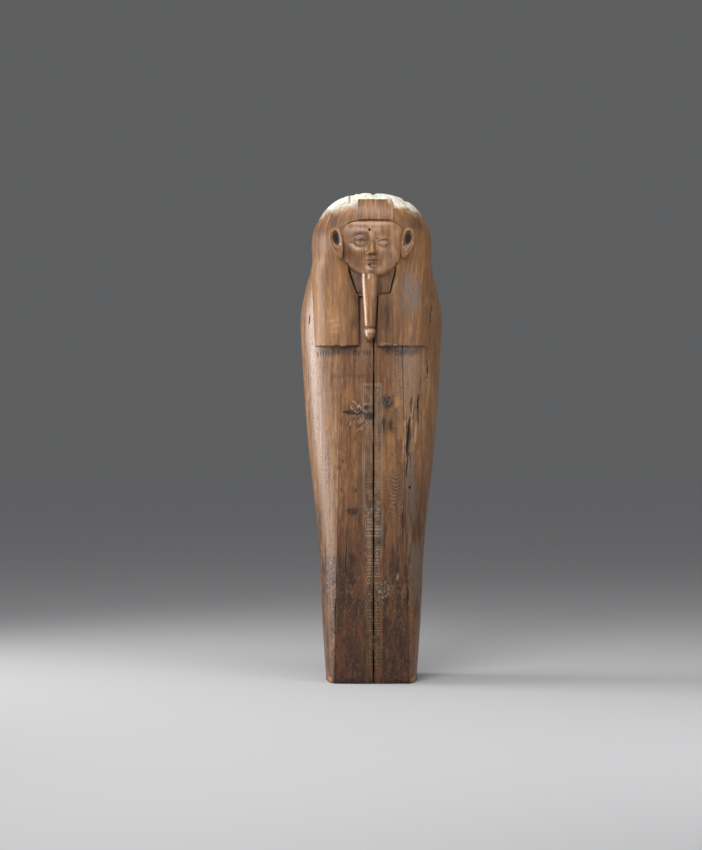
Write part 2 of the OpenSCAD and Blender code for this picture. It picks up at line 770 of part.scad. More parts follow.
module brow_inset() {
    color(dark_wood) inset_block(brow_z + fit_gap, 0, inset_proud, inset_t);
}

// Face, ears and beard
face_peg_back_d = mask_seat_d - peg_back;
face_peg_hole_l = cut_past + nose_d - face_peg_back_d;
face_peg_hole_at = [
    for (z = face_peg_zs) at(face_peg_x, face_peg_back_d - fit_gap + face_peg_hole_l / 2, z)
];

module face_mask() {
    color(brown_wood)
        difference() {
            relief(
                mask_zs,
                function (z) -mask_side(-1, z),
                function (z) mask_side(1, z),
                mask_cols,
                function (x, z) mask_front(x, z),
                function (x, z) mask_seat_d + fit_gap
            );
            rods(face_peg_hole_at, "y", peg_d + 2 * fit_gap, face_peg_hole_l);
            rods([beard_peg_at], "z", dowel_d, beard_peg_l, fit_gap);
        }
}

module face_pegs() {
    color(dark_wood)
        for (z = face_peg_zs) {
            l = mask_front(face_peg_x, z) - face_peg_back_d - 3 * recess;
            rod(at(face_peg_x, face_peg_back_d + l / 2, z), "y", peg_d, l);
        }
}

module ear(side) {
    difference() {
        relief(
            ear_zs,
            function (z) side * ear_x - ear_half(z),
            function (z) side * ear_x + ear_half(z),
            ear_cols,
            function (x, z) wig_face(x, z) + ear_rise,
            function (x, z) ear_seat_d + fit_gap
        );
        rods(ear_peg_at, "y", peg_d, peg_l, fit_gap);
    }
}

module left_ear() {
    color(brown_wood) ear(-1);
}

module right_ear() {
    color(brown_wood) ear(1);
}

module ear_pegs() {
    color(dark_wood) rods(ear_peg_at, "y", peg_d, peg_l);
}

module beard() {
    color(dark_wood)
        difference() {
            relief(
                steps(beard_z, beard_top_z, beard_rows),
                function (z) beard_x - beard_half(z),
                function (z) beard_x + beard_half(z),
                beard_cols,
                function (x, z) beard_mid(z) + beard_round(x, z),
                function (x, z) beard_mid(z) - beard_round(x, z)
            );
            rods([beard_peg_at], "z", dowel_d, beard_peg_l, fit_gap);
        }
}

module beard_peg() {
    color(pale_wood) rods([beard_peg_at], "z", dowel_d, beard_peg_l);
}

case_left_floor_plank();
case_right_floor_plank();
case_left_side_plank();
case_right_side_plank();
case_left_head_block();
case_right_head_block();
case_foot_board();
case_floor_tenons();
case_floor_dowels();
case_head_dowels();
case_foot_dowels();
rim_tenons();
rim_tenon_pegs();
lid_left_front_plank();
lid_right_front_plank();
lid_left_side_plank();
lid_right_side_plank();
lid_foot_board();
lid_centre_tenons();
lid_side_dowels();
lid_foot_dowels();
left_wig_block();
right_wig_block();
wig_neck_dowels();
wig_crown_dowels();
left_lappet();
right_lappet();
lappet_pegs();
brow_inset();
face_mask();
face_pegs();
left_ear();
right_ear();
ear_pegs();
beard();
beard_peg();
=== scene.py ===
# %% [markdown]
# # An old wooden coffin in the shape of a person
# The coffin is a box of planks, a case below and a lid above, and the lid is carved with a wig, a face
# and a beard. A CAD model gives every solid its place. This lesson puts finer pieces over those solids,
# with grain, cracks, carving and wear, and gives each piece a wood of its own.

# %% Load the CAD frame
import math

import bpy
import numpy as np
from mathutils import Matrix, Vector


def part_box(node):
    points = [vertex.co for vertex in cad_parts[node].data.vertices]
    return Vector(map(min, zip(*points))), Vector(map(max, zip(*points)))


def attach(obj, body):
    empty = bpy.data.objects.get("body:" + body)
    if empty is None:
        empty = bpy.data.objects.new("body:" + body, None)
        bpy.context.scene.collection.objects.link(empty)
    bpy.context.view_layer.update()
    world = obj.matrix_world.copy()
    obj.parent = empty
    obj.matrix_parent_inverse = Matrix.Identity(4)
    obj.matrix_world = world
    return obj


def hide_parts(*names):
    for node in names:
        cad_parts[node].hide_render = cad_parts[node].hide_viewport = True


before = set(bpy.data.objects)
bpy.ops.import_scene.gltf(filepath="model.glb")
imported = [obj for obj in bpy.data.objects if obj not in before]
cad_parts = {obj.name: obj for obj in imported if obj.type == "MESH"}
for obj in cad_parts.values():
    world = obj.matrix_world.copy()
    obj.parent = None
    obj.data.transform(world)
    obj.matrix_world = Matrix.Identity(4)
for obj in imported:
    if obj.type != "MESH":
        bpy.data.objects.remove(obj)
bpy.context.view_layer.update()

MM = 0.001
SIDES = {"left": -1, "right": 1}


def corners(node):
    """Lowest and highest corner of a CAD node in millimetres."""
    low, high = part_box(node)
    return np.array(low) / MM, np.array(high) / MM


# %% [markdown]
# ## Sizes
# The pieces have to lie where the CAD solids are, so the same few curves describe both: the outline seen
# from the front, the depth of the lid, and the line where the front planks meet the side planks. Heights
# that a box can give are read from the frame. Depths are measured forward from the seam between lid and
# case, because the maker of a lid measures from its rim.

# %% The outline and the section of the lid
seam_y = corners("case_left_side_plank")[0][1]
wig_low, wig_high = corners("left_wig_block")
wig_z, crown_z = wig_low[2], wig_high[2]
lappet_z = corners("left_lappet")[0][2]
chest_z, shoulder_z, head_z = 1200, 1415, 1680
head_half, head_power, head_rise = 233, 2.3, crown_z - head_z
outline = [(0, 177), (265, 194), (550, 208), (920, 247), (chest_z, 267.5), (shoulder_z, 276.5),
           (1540, 254), (1622, 231), (head_z, head_half)]
lid_depths = [(0, 140), (550, 165), (chest_z, 215), (wig_z, 203)]
joint_foot, joint_chest = 145, 118
plank_t = 30
seam_gap = 0.5


def curve(stations, z):
    """Smooth curve through stations of height and value, level at its upper end."""
    zs, values = np.array(stations, float).T
    slopes = np.zeros(len(zs))
    slopes[0] = (values[1] - values[0]) / (zs[1] - zs[0])
    slopes[1:-1] = (values[2:] - values[:-2]) / (zs[2:] - zs[:-2])
    i = np.clip(np.searchsorted(zs, z, side="right") - 1, 0, len(zs) - 2)
    run = zs[i + 1] - zs[i]
    t = (z - zs[i]) / run
    ease = t * t * (3 - 2 * t)
    bow = run * t * (1 - t) * (slopes[i] * (1 - t) - slopes[i + 1] * t)
    return values[i] * (1 - ease) + values[i + 1] * ease + bow


def share(value, low, high):
    """How far a value lies from low to high, kept between 0 and 1."""
    return np.clip((value - low) / (high - low), 0, 1)


def smooth(value, low, high):
    """The same share, eased at both ends."""
    t = share(value, low, high)
    return t * t * (3 - 2 * t)


def between(value, low, high, soft=3):
    """1 from low to high and 0 outside, with soft ends."""
    return smooth(value, low - soft, low + soft) * (1 - smooth(value, high - soft, high + soft))


def mix(a, b, t):
    return a + (b - a) * t


print("Half width at the shoulders:", curve(outline, np.array([float(shoulder_z)])), "mm")

# %% Half width, plank joint and depth at any height
def head_share(z, rise):
    return (1 - np.clip((z - head_z) / rise, 0, 1) ** head_power) ** (1 / head_power)


def half_width(z, wall=0):
    body = curve(outline, np.minimum(z, head_z)) - wall
    return body * np.where(z > head_z, head_share(z, head_rise - wall), 1)


def plank_middle(z):
    """Middle of a wall's thickness at one height, where its tenons and pins sit."""
    return float(half_width(np.array(float(z)))) - plank_t / 2


def joint_x(z):
    return mix(joint_foot, joint_chest, z / chest_z)


def front_depth(x, z):
    crown = mix(4, 22, share(z, 0, chest_z))
    return curve(lid_depths, z) - crown * (x / joint_x(z)) ** 2


def side_point(t, z, inset=0):
    """Point of a side plank's section, from its joint at 0 to the seam at 1."""
    wide = half_width(z) - inset
    joint = joint_x(z)
    deep = front_depth(joint, z) - inset
    knee = deep - mix(0.9, 0.4, share(z, 0, chest_z)) * (wide - joint)
    u = 1 - t
    return u * u * joint + (1 - u * u) * wide, u * u * deep + 2 * t * u * knee + t * t * seam_gap


def section_place(x, z):
    """Place across the section: 0 in the middle, 1 at the joint, 2 at the seam."""
    joint = joint_x(z)
    rest = np.maximum(half_width(z) - x, 0) / (half_width(z) - joint)
    return np.where(x <= joint, x / joint, 2 - np.sqrt(rest))


def section_point(s, z):
    flat = np.minimum(s, 1) * joint_x(z)
    side = side_point(np.maximum(s - 1, 0), z)
    return np.where(s < 1, flat, side[0]), np.where(s < 1, front_depth(flat, z), side[1])


def heading(point, s, z, step):
    """Direction along a section at a place, as its part across and its part in depth."""
    after, before = point(s + step, z), point(s - step, z)
    run_x, run_d = after[0] - before[0], after[1] - before[1]
    length = np.hypot(run_x, run_d)
    return run_x / length, run_d / length


def section_offset(s, z, off):
    """Point at a distance outside the section."""
    run_x, run_d = heading(section_point, s, z, 0.01)
    x, d = section_point(s, z)
    return x - run_d * off, d + run_x * off


print("Depth of the lid at the chest:", front_depth(0.0, np.array([float(chest_z)])), "mm")

# %% [markdown]
# ## Noise, lines and marks
# Old wood is never plain: it has ridges along the grain, cracks, knots, stains and pale worn edges. Each
# mark is worked out by a formula over the front view, so that a crack can run from one plank to the next.
# A mark both moves the surface and is kept in a colour attribute, called marks, that the wood reads.
# Some marks also paint shade in hollows and creases, and rim light and top light on the hair.

# %% Seeded noise, soft hills and the distance from a line
lattice = 64


def cloud(x, z, size_x, size_z, seed):
    """Smooth noise from 0 to 1 on a lattice of cells of the given size."""
    cells = np.random.default_rng(seed).random((lattice, lattice))
    u, v = x / size_x, z / size_z
    i, j = np.floor(u).astype(int), np.floor(v).astype(int)
    u, v = u - i, v - j
    u, v = u * u * (3 - 2 * u), v * v * (3 - 2 * v)
    i, j, next_i, next_j = i % lattice, j % lattice, (i + 1) % lattice, (j + 1) % lattice
    return mix(mix(cells[i, j], cells[next_i, j], u), mix(cells[i, next_j], cells[next_i, next_j], u), v)


def bell(distance, width):
    return np.exp(-(distance / width) ** 2)


def hill(x, z, at, size):
    return np.exp(-((x - at[0]) / size[0]) ** 2 - ((z - at[1]) / size[1]) ** 2)


def track(x, z, points):
    """Distance from a line through points, and how far along it the nearest place is."""
    points = np.array(points, float)
    runs = np.diff(points, axis=0)
    lengths = np.hypot(*runs.T)
    starts = np.cumsum(lengths) - lengths
    best, along = np.full(x.shape, np.inf), np.zeros(x.shape)
    for point, run, length, start in zip(points, runs, lengths, starts):
        t = np.clip(((x - point[0]) * run[0] + (z - point[1]) * run[1]) / length ** 2, 0, 1)
        gap = np.hypot(x - point[0] - t * run[0], z - point[1] - t * run[1])
        along = np.where(gap < best, (start + t * length) / lengths.sum(), along)
        best = np.minimum(gap, best)
    return best, along


def taper(along, end=0.02):
    """Full width in the middle of a line and thin at both ends."""
    return np.sqrt(np.clip(np.sin(np.pi * np.clip(along, end, 1 - end)), 0, 1))


print("Noise at one place:", cloud(np.array([12.0]), np.array([80.0]), 8, 150, 1))

# %% The marks of a surface
class Marks:
    """How far the surface lies low, and point by point its grime with painted shade, its paleness with
    painted highlights, its stains with painted shade, and its tint with painted rim light.
    """
    kinds = ("low", "dirt", "pale", "stain", "tint")

    def __init__(self, x):
        for kind in self.kinds:
            setattr(self, kind, np.zeros(x.shape))

    def add(self, **strengths):
        """Raises each named mark to a strength where it is weaker."""
        for kind, strength in strengths.items():
            setattr(self, kind, np.maximum(getattr(self, kind), strength))

    def dye(self, tint, strength):
        """Draws the tint toward another one."""
        self.tint = mix(self.tint, tint, strength)

    def turn(self, way):
        """Puts the columns the other way round where way is -1."""
        for kind in self.kinds:
            setattr(self, kind, getattr(self, kind)[:, ::way])

    def groove(self, gap, half, depth, dirt=0.7, pale=0.0):
        """A cut along a line, from the distance to that line and the cut's half width."""
        rim = bell(gap - 1.5 * half, 0.4 * half + 1)
        self.add(low=depth * np.clip(1 - (gap / half) ** 2, 0, 1),
                 dirt=dirt * np.clip(1.35 - gap / half, 0, 1), pale=pale * rim)

    def spot(self, x, z, at, radii, stain=0.0, tint=0.0, pale=0.0):
        """A soft oval patch with an uneven edge."""
        far = ((x - at[0]) / radii[0]) ** 2 + ((z - at[1]) / radii[1]) ** 2
        patch = np.exp(-(far * (0.5 + cloud(x, z, 7, 15, 4))) ** 1.5)
        self.add(stain=stain * patch, pale=pale * patch)
        self.dye(tint, patch * (tint != 0))

    def colours(self):
        parts = (self.dirt, self.pale, self.stain, 0.5 + self.tint / 2)
        return np.stack([np.clip(part, 0, 1) for part in parts], axis=-1)


print("Kinds of mark:", *Marks.kinds)

# %% [markdown]
# ## From a flat grid to a carved plank
# A carver starts from a flat plank, and so does each piece here: a grid primitive gets a second side with
# the Solidify modifier, and its rows and columns are then moved to the curves above. A sculpted mesh would
# look as good, but the formulas can be read, changed and run again.

# %% Helpers for a piece made from a grid
def apply(piece, kind, **settings):
    """Adds a modifier with its settings and applies it."""
    modifier = piece.modifiers.new(kind.title(), kind)
    for key, value in settings.items():
        setattr(modifier, key, value)
    bpy.context.view_layer.objects.active = piece
    bpy.ops.object.modifier_apply(modifier=modifier.name)


def deselect():
    bpy.ops.object.select_all(action="DESELECT")


def choose(piece):
    deselect()
    bpy.context.view_layer.objects.active = piece
    piece.select_set(True)


def grid(name, shape, solid=True):
    """Adds a grid with rows and columns of points, and with a second side if it is solid."""
    rows, cols = shape
    deselect()
    bpy.ops.mesh.primitive_grid_add(x_subdivisions=cols - 1, y_subdivisions=rows - 1, size=1)
    piece = bpy.context.object
    piece.name = piece.data.name = name
    if solid:
        apply(piece, "SOLIDIFY", thickness=0.1, offset=-1)
    return piece


def lay_out(piece, *sides):
    """Moves the sides of a grid to places across, depths and heights, row by row."""
    points = []
    for x, d, z in sides:
        x, d, z = np.broadcast_arrays(x, d, z)
        points.append(np.stack([x, seam_y - d, z], axis=-1).reshape(-1, 3) * MM)
    piece.data.vertices.foreach_set("co", np.concatenate(points).ravel())
    piece.data.update()


def paint(piece, across, along, *sides):
    """Keeps each side's marks in a colour attribute, and its places in the grain in a vector attribute."""
    side_step = 40
    colours = np.concatenate([side.colours().reshape(-1, 4) for side in sides])
    layer = piece.data.attributes.new("marks", "FLOAT_COLOR", "POINT")
    layer.data.foreach_set("color", colours.ravel())
    across, along = np.broadcast_arrays(across, along)
    places = [np.stack([across, 0 * across + side_step * number, along], axis=-1).reshape(-1, 3)
              for number in range(len(sides))]
    layer = piece.data.attributes.new("grain", "FLOAT_VECTOR", "POINT")
    layer.data.foreach_set("vector", np.concatenate(places).ravel() * MM)


def solid_piece(name, front, back, across, along, marks, way=1):
    """A closed piece from its front and back, with the columns turned round where way is -1."""
    shape = marks.low.shape
    front, back = [[np.broadcast_to(part, shape)[:, ::way] for part in face] for face in (front, back)]
    marks.turn(way)
    piece = grid(name, shape)
    lay_out(piece, front, back)
    paint(piece, across[:, ::way], along[:, ::way], marks, Marks(marks.low))
    return piece


def close(piece, merge=0.02):
    """Joins points that meet, and turns every face outward."""
    choose(piece)
    bpy.ops.object.mode_set(mode="EDIT")
    bpy.ops.mesh.select_all(action="SELECT")
    bpy.ops.mesh.remove_doubles(threshold=merge * MM)
    bpy.ops.mesh.dissolve_degenerate(threshold=merge * MM)
    bpy.ops.mesh.normals_make_consistent(inside=False)
    bpy.ops.object.mode_set(mode="OBJECT")


def finish(piece, body, slot, *nodes, crease=40):
    """Smooths the shading up to a crease, ties the piece to its body and hides the CAD nodes it stands for;
    the slot argument is not used.
    """
    choose(piece)
    bpy.ops.object.shade_smooth_by_angle(angle=math.radians(crease))
    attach(piece, body)
    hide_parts(*nodes)
    print(piece.name, "has", len(piece.data.polygons), "faces")
    return piece


print("Each piece keeps two attributes: marks and grain")

# %% Slots and round holes
def cut(piece, cutter):
    apply(piece, "BOOLEAN", operation="DIFFERENCE", solver="EXACT", object=cutter)
    bpy.data.objects.remove(cutter)


def cut_boxes(piece, places, size):
    """Cuts a box at each place, given in millimetres with its depth."""
    for x, d, z in places:
        deselect()
        bpy.ops.mesh.primitive_cube_add(size=MM, location=(x * MM, (seam_y - d) * MM, z * MM), scale=size)
        cut(piece, bpy.context.object)


def cut_rods(piece, places, radius, length, turn):
    """Drills a round hole at each place, along the axis that a turn gives."""
    for x, d, z in places:
        deselect()
        bpy.ops.mesh.primitive_cylinder_add(vertices=24, radius=radius * MM, depth=length * MM, rotation=turn,
                                            location=(x * MM, (seam_y - d) * MM, z * MM))
        cut(piece, bpy.context.object)


sideways, backward = (0, math.pi / 2, 0), (math.pi / 2, 0, 0)
peg_hole, pin_hole = 4.9, 5.4
print("Holes for pegs and pins:", 2 * peg_hole, "and", 2 * pin_hole, "mm across")

# %% [markdown]
# ## The marks on the lid
# A frame of two long lines and one short line runs down the middle of the lid, with a plain block border
# between them, and two rows of short strokes hang below the wig like the drops of a collar. Knots, cracks
# and stains came with the tree and with time. All of them are drawn over the front view of the lid.

# %% Carved lines: the long frame, its block border and the strokes of the collar
frame_top, frame_left, frame_right = 1151, (-20, -36), (43, 36)
border_low, border_high, border_fades = 60, frame_top - 20, (560, 800)
block_pitch, block_bars = 26, (4, 15, 21)
stroke_pitch = 10.5
off_line = 50


def carve_lines(marks, x, z):
    """The frame, whose sides lean in a little from foot to top, and the block border inside it."""
    left, right = mix(*frame_left, z / frame_top), mix(*frame_right, z / frame_top)
    worn = smooth(cloud(x, z, 22, 70, 5), 0.2, 0.7)
    inside = (z < frame_top) & (x > left) & (x < right)
    uprights = np.minimum(np.abs(x - left), np.abs(x - right)) + np.maximum(z - frame_top, 0) * 4
    top = np.abs(z - frame_top) + np.maximum(np.maximum(left - x, x - right), 0) * 4
    marks.groove(np.minimum(uprights, top), 1.7, 1.2 * worn, dirt=0.45 * worn, pale=0.22 * worn)
    phase = z % block_pitch
    bars = np.min([np.abs(phase - bar) for bar in block_bars], axis=0)
    bars = bars + off_line * ((x < left + 6) | (x > right - 6))
    edge = np.minimum(np.abs(x - left - 8), np.abs(x - right + 8))
    edge = np.minimum(edge, np.abs(np.abs(x - 6) - 7))
    edge = edge + off_line * ((phase < block_bars[0]) | (phase > block_bars[1]))
    lines = np.where(inside & (z > border_low) & (z < border_high), np.minimum(bars, edge), 2 * off_line)
    kept = smooth(cloud(x, z, 12, 14, 6), 0.28, 0.62)
    clear = mix(1, 0.25, share(z, *border_fades)) * kept
    marks.groove(lines, 2.0, 1.7 * clear, dirt=0.75 * clear, pale=0.4 * clear)
    glow = (0.3 + 0.7 * smooth(cloud(x, z, 9, 50, 8), 0.4, 0.8)) * inside * (1 - smooth(z, 560, 700))
    marks.add(tint=0.5 * glow)


def carve_strokes(marks, x, z, low, high, spans, strength=1):
    """A row of short upright strokes between two heights, in the given spans across."""
    x = x + 7 * cloud(x, z, 34, 60, 61) - 3.5
    across = np.abs((x / stroke_pitch) % 1 - 0.5) * stroke_pitch
    drop = 7 * cloud(x, 0 * z, 13, 50, 62)
    reach = sum(between(x, *span) for span in spans) * between(z + drop, low, high + 4, 6)
    stroke = strength * reach * bell(across, 2.8) * smooth(cloud(x, z, 19, 16, 9), 0.15, 0.55)
    marks.add(stain=stroke, dirt=0.25 * stroke, low=1.1 * stroke)


def collar_marks(marks, x, z):
    """The two rows of strokes, and a painted shadow along the hem of the hair above them."""
    carve_strokes(marks, x, z, 1262, 1279, [(-207, 0), (67, 194)])
    carve_strokes(marks, x, z, 1176, 1189, [(-153, 0)], 0.55)
    painted_hem_shadow = between(z, 1266, 1300, 10) * (between(x, -200, -55, 14) + between(x, 40, 185, 14))
    # Painted shadow of the lappets' hem on the chest just below it.
    marks.add(stain=painted_hem_shadow * (0.45 + 0.45 * cloud(x, z, 16, 9, 65)))


print("Blocks in the border:", int((border_high - border_low) / block_pitch))

# %% Cracks, and the star-shaped knot that split as it dried
cracks = [
    ([(147, 1026), (144, 960), (139, 905), (138, 866)], 8, 14), ([(138, 880), (133, 790)], 3, 8),
    ([(140, 905), (147, 868), (152, 836)], 2, 4), ([(136, 1010), (134, 940)], 2, 3),
    ([(181, 1118), (178, 1060), (181, 1000)], 3.5, 10), ([(214, 1254), (216, 1210), (215, 1168)], 3, 8),
    ([(152, 1098), (150, 1040)], 2.4, 5), ([(163, 1074), (160, 1016)], 2, 4),
    ([(190, 1190), (187, 1130)], 2, 4), ([(-243, 1378), (-240, 1430)], 2, 3),
    ([(224, 1380), (227, 1430), (224, 1475)], 4.5, 9), ([(139, 300), (139, 372)], 4, 9),
    ([(-142, 190), (-140, 330)], 2.5, 4), ([(122, 720), (118, 600), (121, 520)], 2, 2.5),
    ([(-60, 330), (-62, 250)], 2, 2.5), ([(-96, 560), (-100, 470), (-98, 400)], 2.5, 3),
]
splinters = [
    [(157, 1071), (150, 986)], [(126, 1010), (123, 900), (130, 860)], [(171, 1005), (167, 930)],
    [(141, 884), (147, 848)],
]
star_hearts = [((-20, 1063), (14, 8)), ((-9, 1030), (17, 17))]
star_splits = [
    ([(-105, 1045), (-82, 1046)], 6), ([(-88, 1045), (-60, 1035), (-42, 1043), (-22, 1034), (3, 1038)], 4),
    ([(-77, 1081), (-59, 1064)], 1.8), ([(-84, 1060), (-64, 1046)], 1.8), ([(-64, 999), (-52, 1016)], 1.8),
    ([(-54, 981), (-32, 1004)], 1.8), ([(-39, 986), (-12, 1006)], 1.6), ([(-97, 991), (-82, 1011)], 1.6),
    ([(-72, 1011), (-62, 1026)], 1.8), ([(-34, 1006), (-24, 1024)], 1.8),
]
star_edges = [
    [(-82, 1066), (-60, 1041)], [(-60, 1041), (-37, 1054)], [(-70, 1084), (-52, 1069), (-37, 1054)],
    [(-37, 1059), (-32, 1074), (-10, 1079)], [(-37, 1054), (-22, 1046)],
    [(-57, 971), (-22, 1004), (-7, 1011)], [(-60, 1004), (-42, 1021)], [(-87, 996), (-75, 1011)],
    [(-42, 979), (-27, 994)], [(-50, 1001), (-37, 1019)], [(-32, 1021), (-22, 1009)],
]


def crack_lines(marks, x, z):
    """Cracks from their points, half width and depth, and the torn splinters beside them."""
    broken = smooth(cloud(x, z, 9, 16, 16), 0.3, 0.7)
    waved = x + 4 * cloud(x, z, 40, 22, 14) - 2
    for points, half, depth in cracks:
        gap, along = track(waved, z, points)
        marks.groove(gap, half * taper(along), depth * taper(along), dirt=1, pale=0.06 * broken)
    for points in splinters:
        gap = track(waved, z, points)[0]
        marks.dye(0.8, bell(gap, 3.5))
        marks.add(pale=0.25 * broken * bell(gap, 2.5))


def star_marks(marks, x, z):
    """Dark splits and hearts of the star, and the pale edges that wore bright."""
    star_x, star_z = x + (9 * cloud(x, z, 9, 9, 15) - 4.5), z + (9 * cloud(x, z, 8, 8, 10) - 4.5)
    for points, half in star_splits:
        gap, along = track(star_x, star_z, points)
        marks.groove(gap, half * taper(along, 0.12), 0.6 * half, dirt=0.9)
    for at, radii in star_hearts:
        heart = hill(x, z, at, radii)
        marks.add(dirt=heart * (0.45 + 0.55 * cloud(x, z, 6, 6, 63)), stain=heart)
    for points in star_edges:
        gap = track(star_x, star_z, points)[0]
        ridge = bell(gap, 1.5) * (0.3 + 0.7 * cloud(x, z, 8, 8, 71))
        marks.add(pale=0.45 * ridge)
        marks.dirt = marks.dirt * (1 - 0.8 * ridge)


print("Lines:", len(cracks), "cracks,", len(splinters), "splinters,", len(star_splits), "splits of the star")

# %% Knots, stains and changes of tint
knots = [((-73, 664), (25, 15), 1.0), ((100, 479), (10, 13), 0.7), ((60, 1080), (25, 27), 1.0),
         ((39, 358), (24, 26), 0.6)]
stains = [
    ((-123, 226), (13, 28), 0.8), ((-108, 166), (10, 16), 0.7), ((-49, 178), (9, 14), 0.5),
    ((43, 1005), (6, 26), 0.8), ((70, 998), (7, 28), 0.85), ((-61, 745), (7, 9), 0.8),
    ((-117, 747), (5, 9), 0.7), ((-112, 857), (5, 7), 0.8), ((-126, 832), (12, 9), 0.55),
    ((-104, 520), (26, 90), 0.5), ((-100, 380), (30, 60), 0.35), ((100, 250), (40, 200), 0.3),
    ((-76, 1045), (26, 9), 0.75), ((-30, 1045), (28, 12), 0.7),
]
tints = [
    ((94, 1082), (17, 24), 0.7), ((60, 1080), (20, 22), -0.7), ((72, 936), (20, 40), 0.5),
    ((110, 975), (14, 50), 0.4), ((-90, 1108), (24, 40), 0.4), ((-165, 1005), (16, 40), 0.35),
    ((-100, 1215), (70, 40), -0.3), ((60, 1215), (40, 34), -0.25), ((60, 860), (30, 60), 0.3),
    ((-80, 215), (60, 110), 0.3), ((-73, 664), (22, 13), -0.5),
]
smudges = [(44, 998), (68, 997)]
worm_hole, worm_hole_r, worm_hole_d = (148, 756), 5.5, 12


def knot_marks(marks, x, z):
    """Ringed knots, and flat spots that only change the colour."""
    for at, radii, strength in knots:
        far = np.hypot((x - at[0]) / radii[0], (z - at[1]) / radii[1]) + 0.6 * cloud(x, z, 11, 11, 17) - 0.3
        rings = 0.5 + 0.5 * np.cos(far * 11)
        patch = strength * np.exp(-np.clip(far, 0, 9) ** 4)
        around = strength * (1 - smooth(far, 1.2, 2.6)) * smooth(x - at[0], 0, radii[0])
        marks.add(stain=np.maximum(patch * mix(0.7, 1, rings), 0.45 * around * rings),
                  dirt=0.6 * patch * cloud(x, z, 5, 7, 18),
                  pale=0.12 * patch * smooth(cloud(x, z, 4, 6, 58), 0.6, 0.85), low=1.1 * patch * rings)
    for at, radii, strength in stains:
        marks.spot(x, z, at, radii, stain=strength)
    for at in smudges:
        smudge = np.exp(-((x - at[0]) / 9) ** 2 - ((z - at[1]) / 24) ** 4)
        marks.add(dirt=0.85 * (smudge * smooth(cloud(x, z, 5, 30, 64), 0.25, 0.6)))
    for at, radii, tint in tints:
        marks.spot(x, z, at, radii, tint=tint)
    marks.spot(x - (z - 410) * 0.2, z, (98, 410), (4, 14), tint=0.8, pale=0.3)
    speckle = hill(x, z, (42, 356), (32, 34))
    marks.add(pale=0.8 * speckle * smooth(cloud(x, z, 5, 5, 19), 0.55, 0.8))
    marks.groove(np.hypot(x - worm_hole[0], z - worm_hole[1]), worm_hole_r, worm_hole_d, dirt=1)


print("Spots:", len(knots), "knots,", len(stains), "stains,", len(tints), "tints")

# %% Grain that shows as relief, wear at the foot and the marks all together
def ridge_marks(marks, way, z):
    """Fine ridges and pits all over, and blotches, flecks and rough spots toward the foot."""
    ridges = 0.5 * cloud(way, z, 6, 240, 2) + 0.3 * cloud(way, z, 3, 110, 3)
    pits = smooth(cloud(way, z, 4, 9, 11), 0.8, 0.95)
    blotch = smooth(0.6 * cloud(way, z, 40, 150, 13) + 0.4 * cloud(way, z, 9, 40, 23), 0.42, 0.72)
    flecks = smooth(cloud(way, z, 3.5, 34, 55), 0.68, 0.9) * (1 - smooth(z, 450, 800))
    rough = smooth(cloud(way, z, 3, 8, 56), 0.7, 0.9) * (1 - smooth(z, 250, 600))
    holes = smooth(cloud(way, z, 5, 13, 57), 0.74, 0.9) * (1 - smooth(z, 300, 700))
    marks.add(dirt=0.4 * pits, stain=0.75 * blotch * (1 - smooth(z, 520, 900)), tint=0.3 * flecks,
              pale=0.22 * rough)
    marks.add(stain=0.9 * holes)
    marks.low = marks.low + ridges + 0.5 * pits + 0.7 * holes


def arch_marks(marks, x, z):
    """The nested arches that a board shows where the saw has cut across its growth rings."""
    axis = mix(89, 97, share(z, 700, 1150)) + 14 * cloud(x * 0, z, 50, 90, 38) - 7
    zone = 0.35 + 0.65 * (between(z, 660, 800, 40) + 0.6 * between(z, 1090, 1210, 40))
    arch = zone * bell(x - axis, 22) * between(z, 520, 1275, 30) * cloud(x, z, 14, 26, 26)
    bow = 0.75 * np.sqrt((x - axis) ** 2 + 60) + 30 * cloud(x, z, 26, 50, 12)
    rings = np.cos((z - bow) * 2 * np.pi / 14)
    marks.add(stain=0.75 * arch * np.clip(rings, 0, 1) ** 2, pale=0.2 * arch * np.clip(-rings, 0, 1) ** 2)
    marks.low = marks.low + 0.3 * arch * np.clip(rings, 0, 1)


def foot_marks(marks, x, z):
    ragged = 1 - share(z, 0, 10 + 22 * cloud(x, z, 14, 200, 20))
    marks.low = marks.low + ragged * (2 + 6 * cloud(x, z, 9, 12, 21))
    marks.add(stain=np.minimum(1, 2.5 * ragged))
    for at in (-163, 161):
        marks.spot(x, z, (at, 14), (9, 12), tint=1, pale=0.35)


def edge_marks(marks, away, z, depth=1.5, dirt=0.8):
    """Wear and dark grime along an edge, from the distance to it."""
    nibble = depth * (0.5 + cloud(away * 0, z, 50, 14, 22))
    marks.low = marks.low + nibble * np.exp(-away / 1.6)
    marks.add(dirt=dirt * bell(away, 1.8))


def hewn(x, z):
    """The slight waves that a blade leaves on the inside of a plank."""
    return 0.8 * cloud(x, z, 30, 70, 25)


def lid_marks(x, z, way):
    """All the marks of the lid, with the way across its surface for the ridges of the grain."""
    marks = Marks(x)
    for add_marks in (carve_lines, collar_marks, knot_marks, crack_lines, star_marks, arch_marks):
        add_marks(marks, x, z)
    ridge_marks(marks, way, z)
    foot_marks(marks, x, z)
    return marks


sample = lid_marks(np.array([[150.0]]), np.array([[860.0]]), np.array([[150.0]]))
print("Depth of the marks beside the long crack:", sample.low[0, 0], "mm")

# %% [markdown]
# ## The planks of the lid
# Two planks make the front, with an open joint between them, and two more make the sides. Ship builders
# and coffin makers bent or hewed such side planks from thick boards. A cube could be subdivided and bent
# instead, but a grid lets each row follow the outline exactly, so the planks meet without gaps.

# %% Front planks, with finer rows where the star-shaped knot is
joint_mid, joint_open = 6, 5
row_step, star_step, hidden_step = 2.6, 1.4, 5
plank_rows = [(0, 960, row_step), (961.4, 1110, star_step), (1112, 1300, row_step),
              (1305, wig_z, hidden_step)]


def rows_between(low, high, step):
    return np.linspace(low, high, int((high - low) / step) + 1)[:, None]


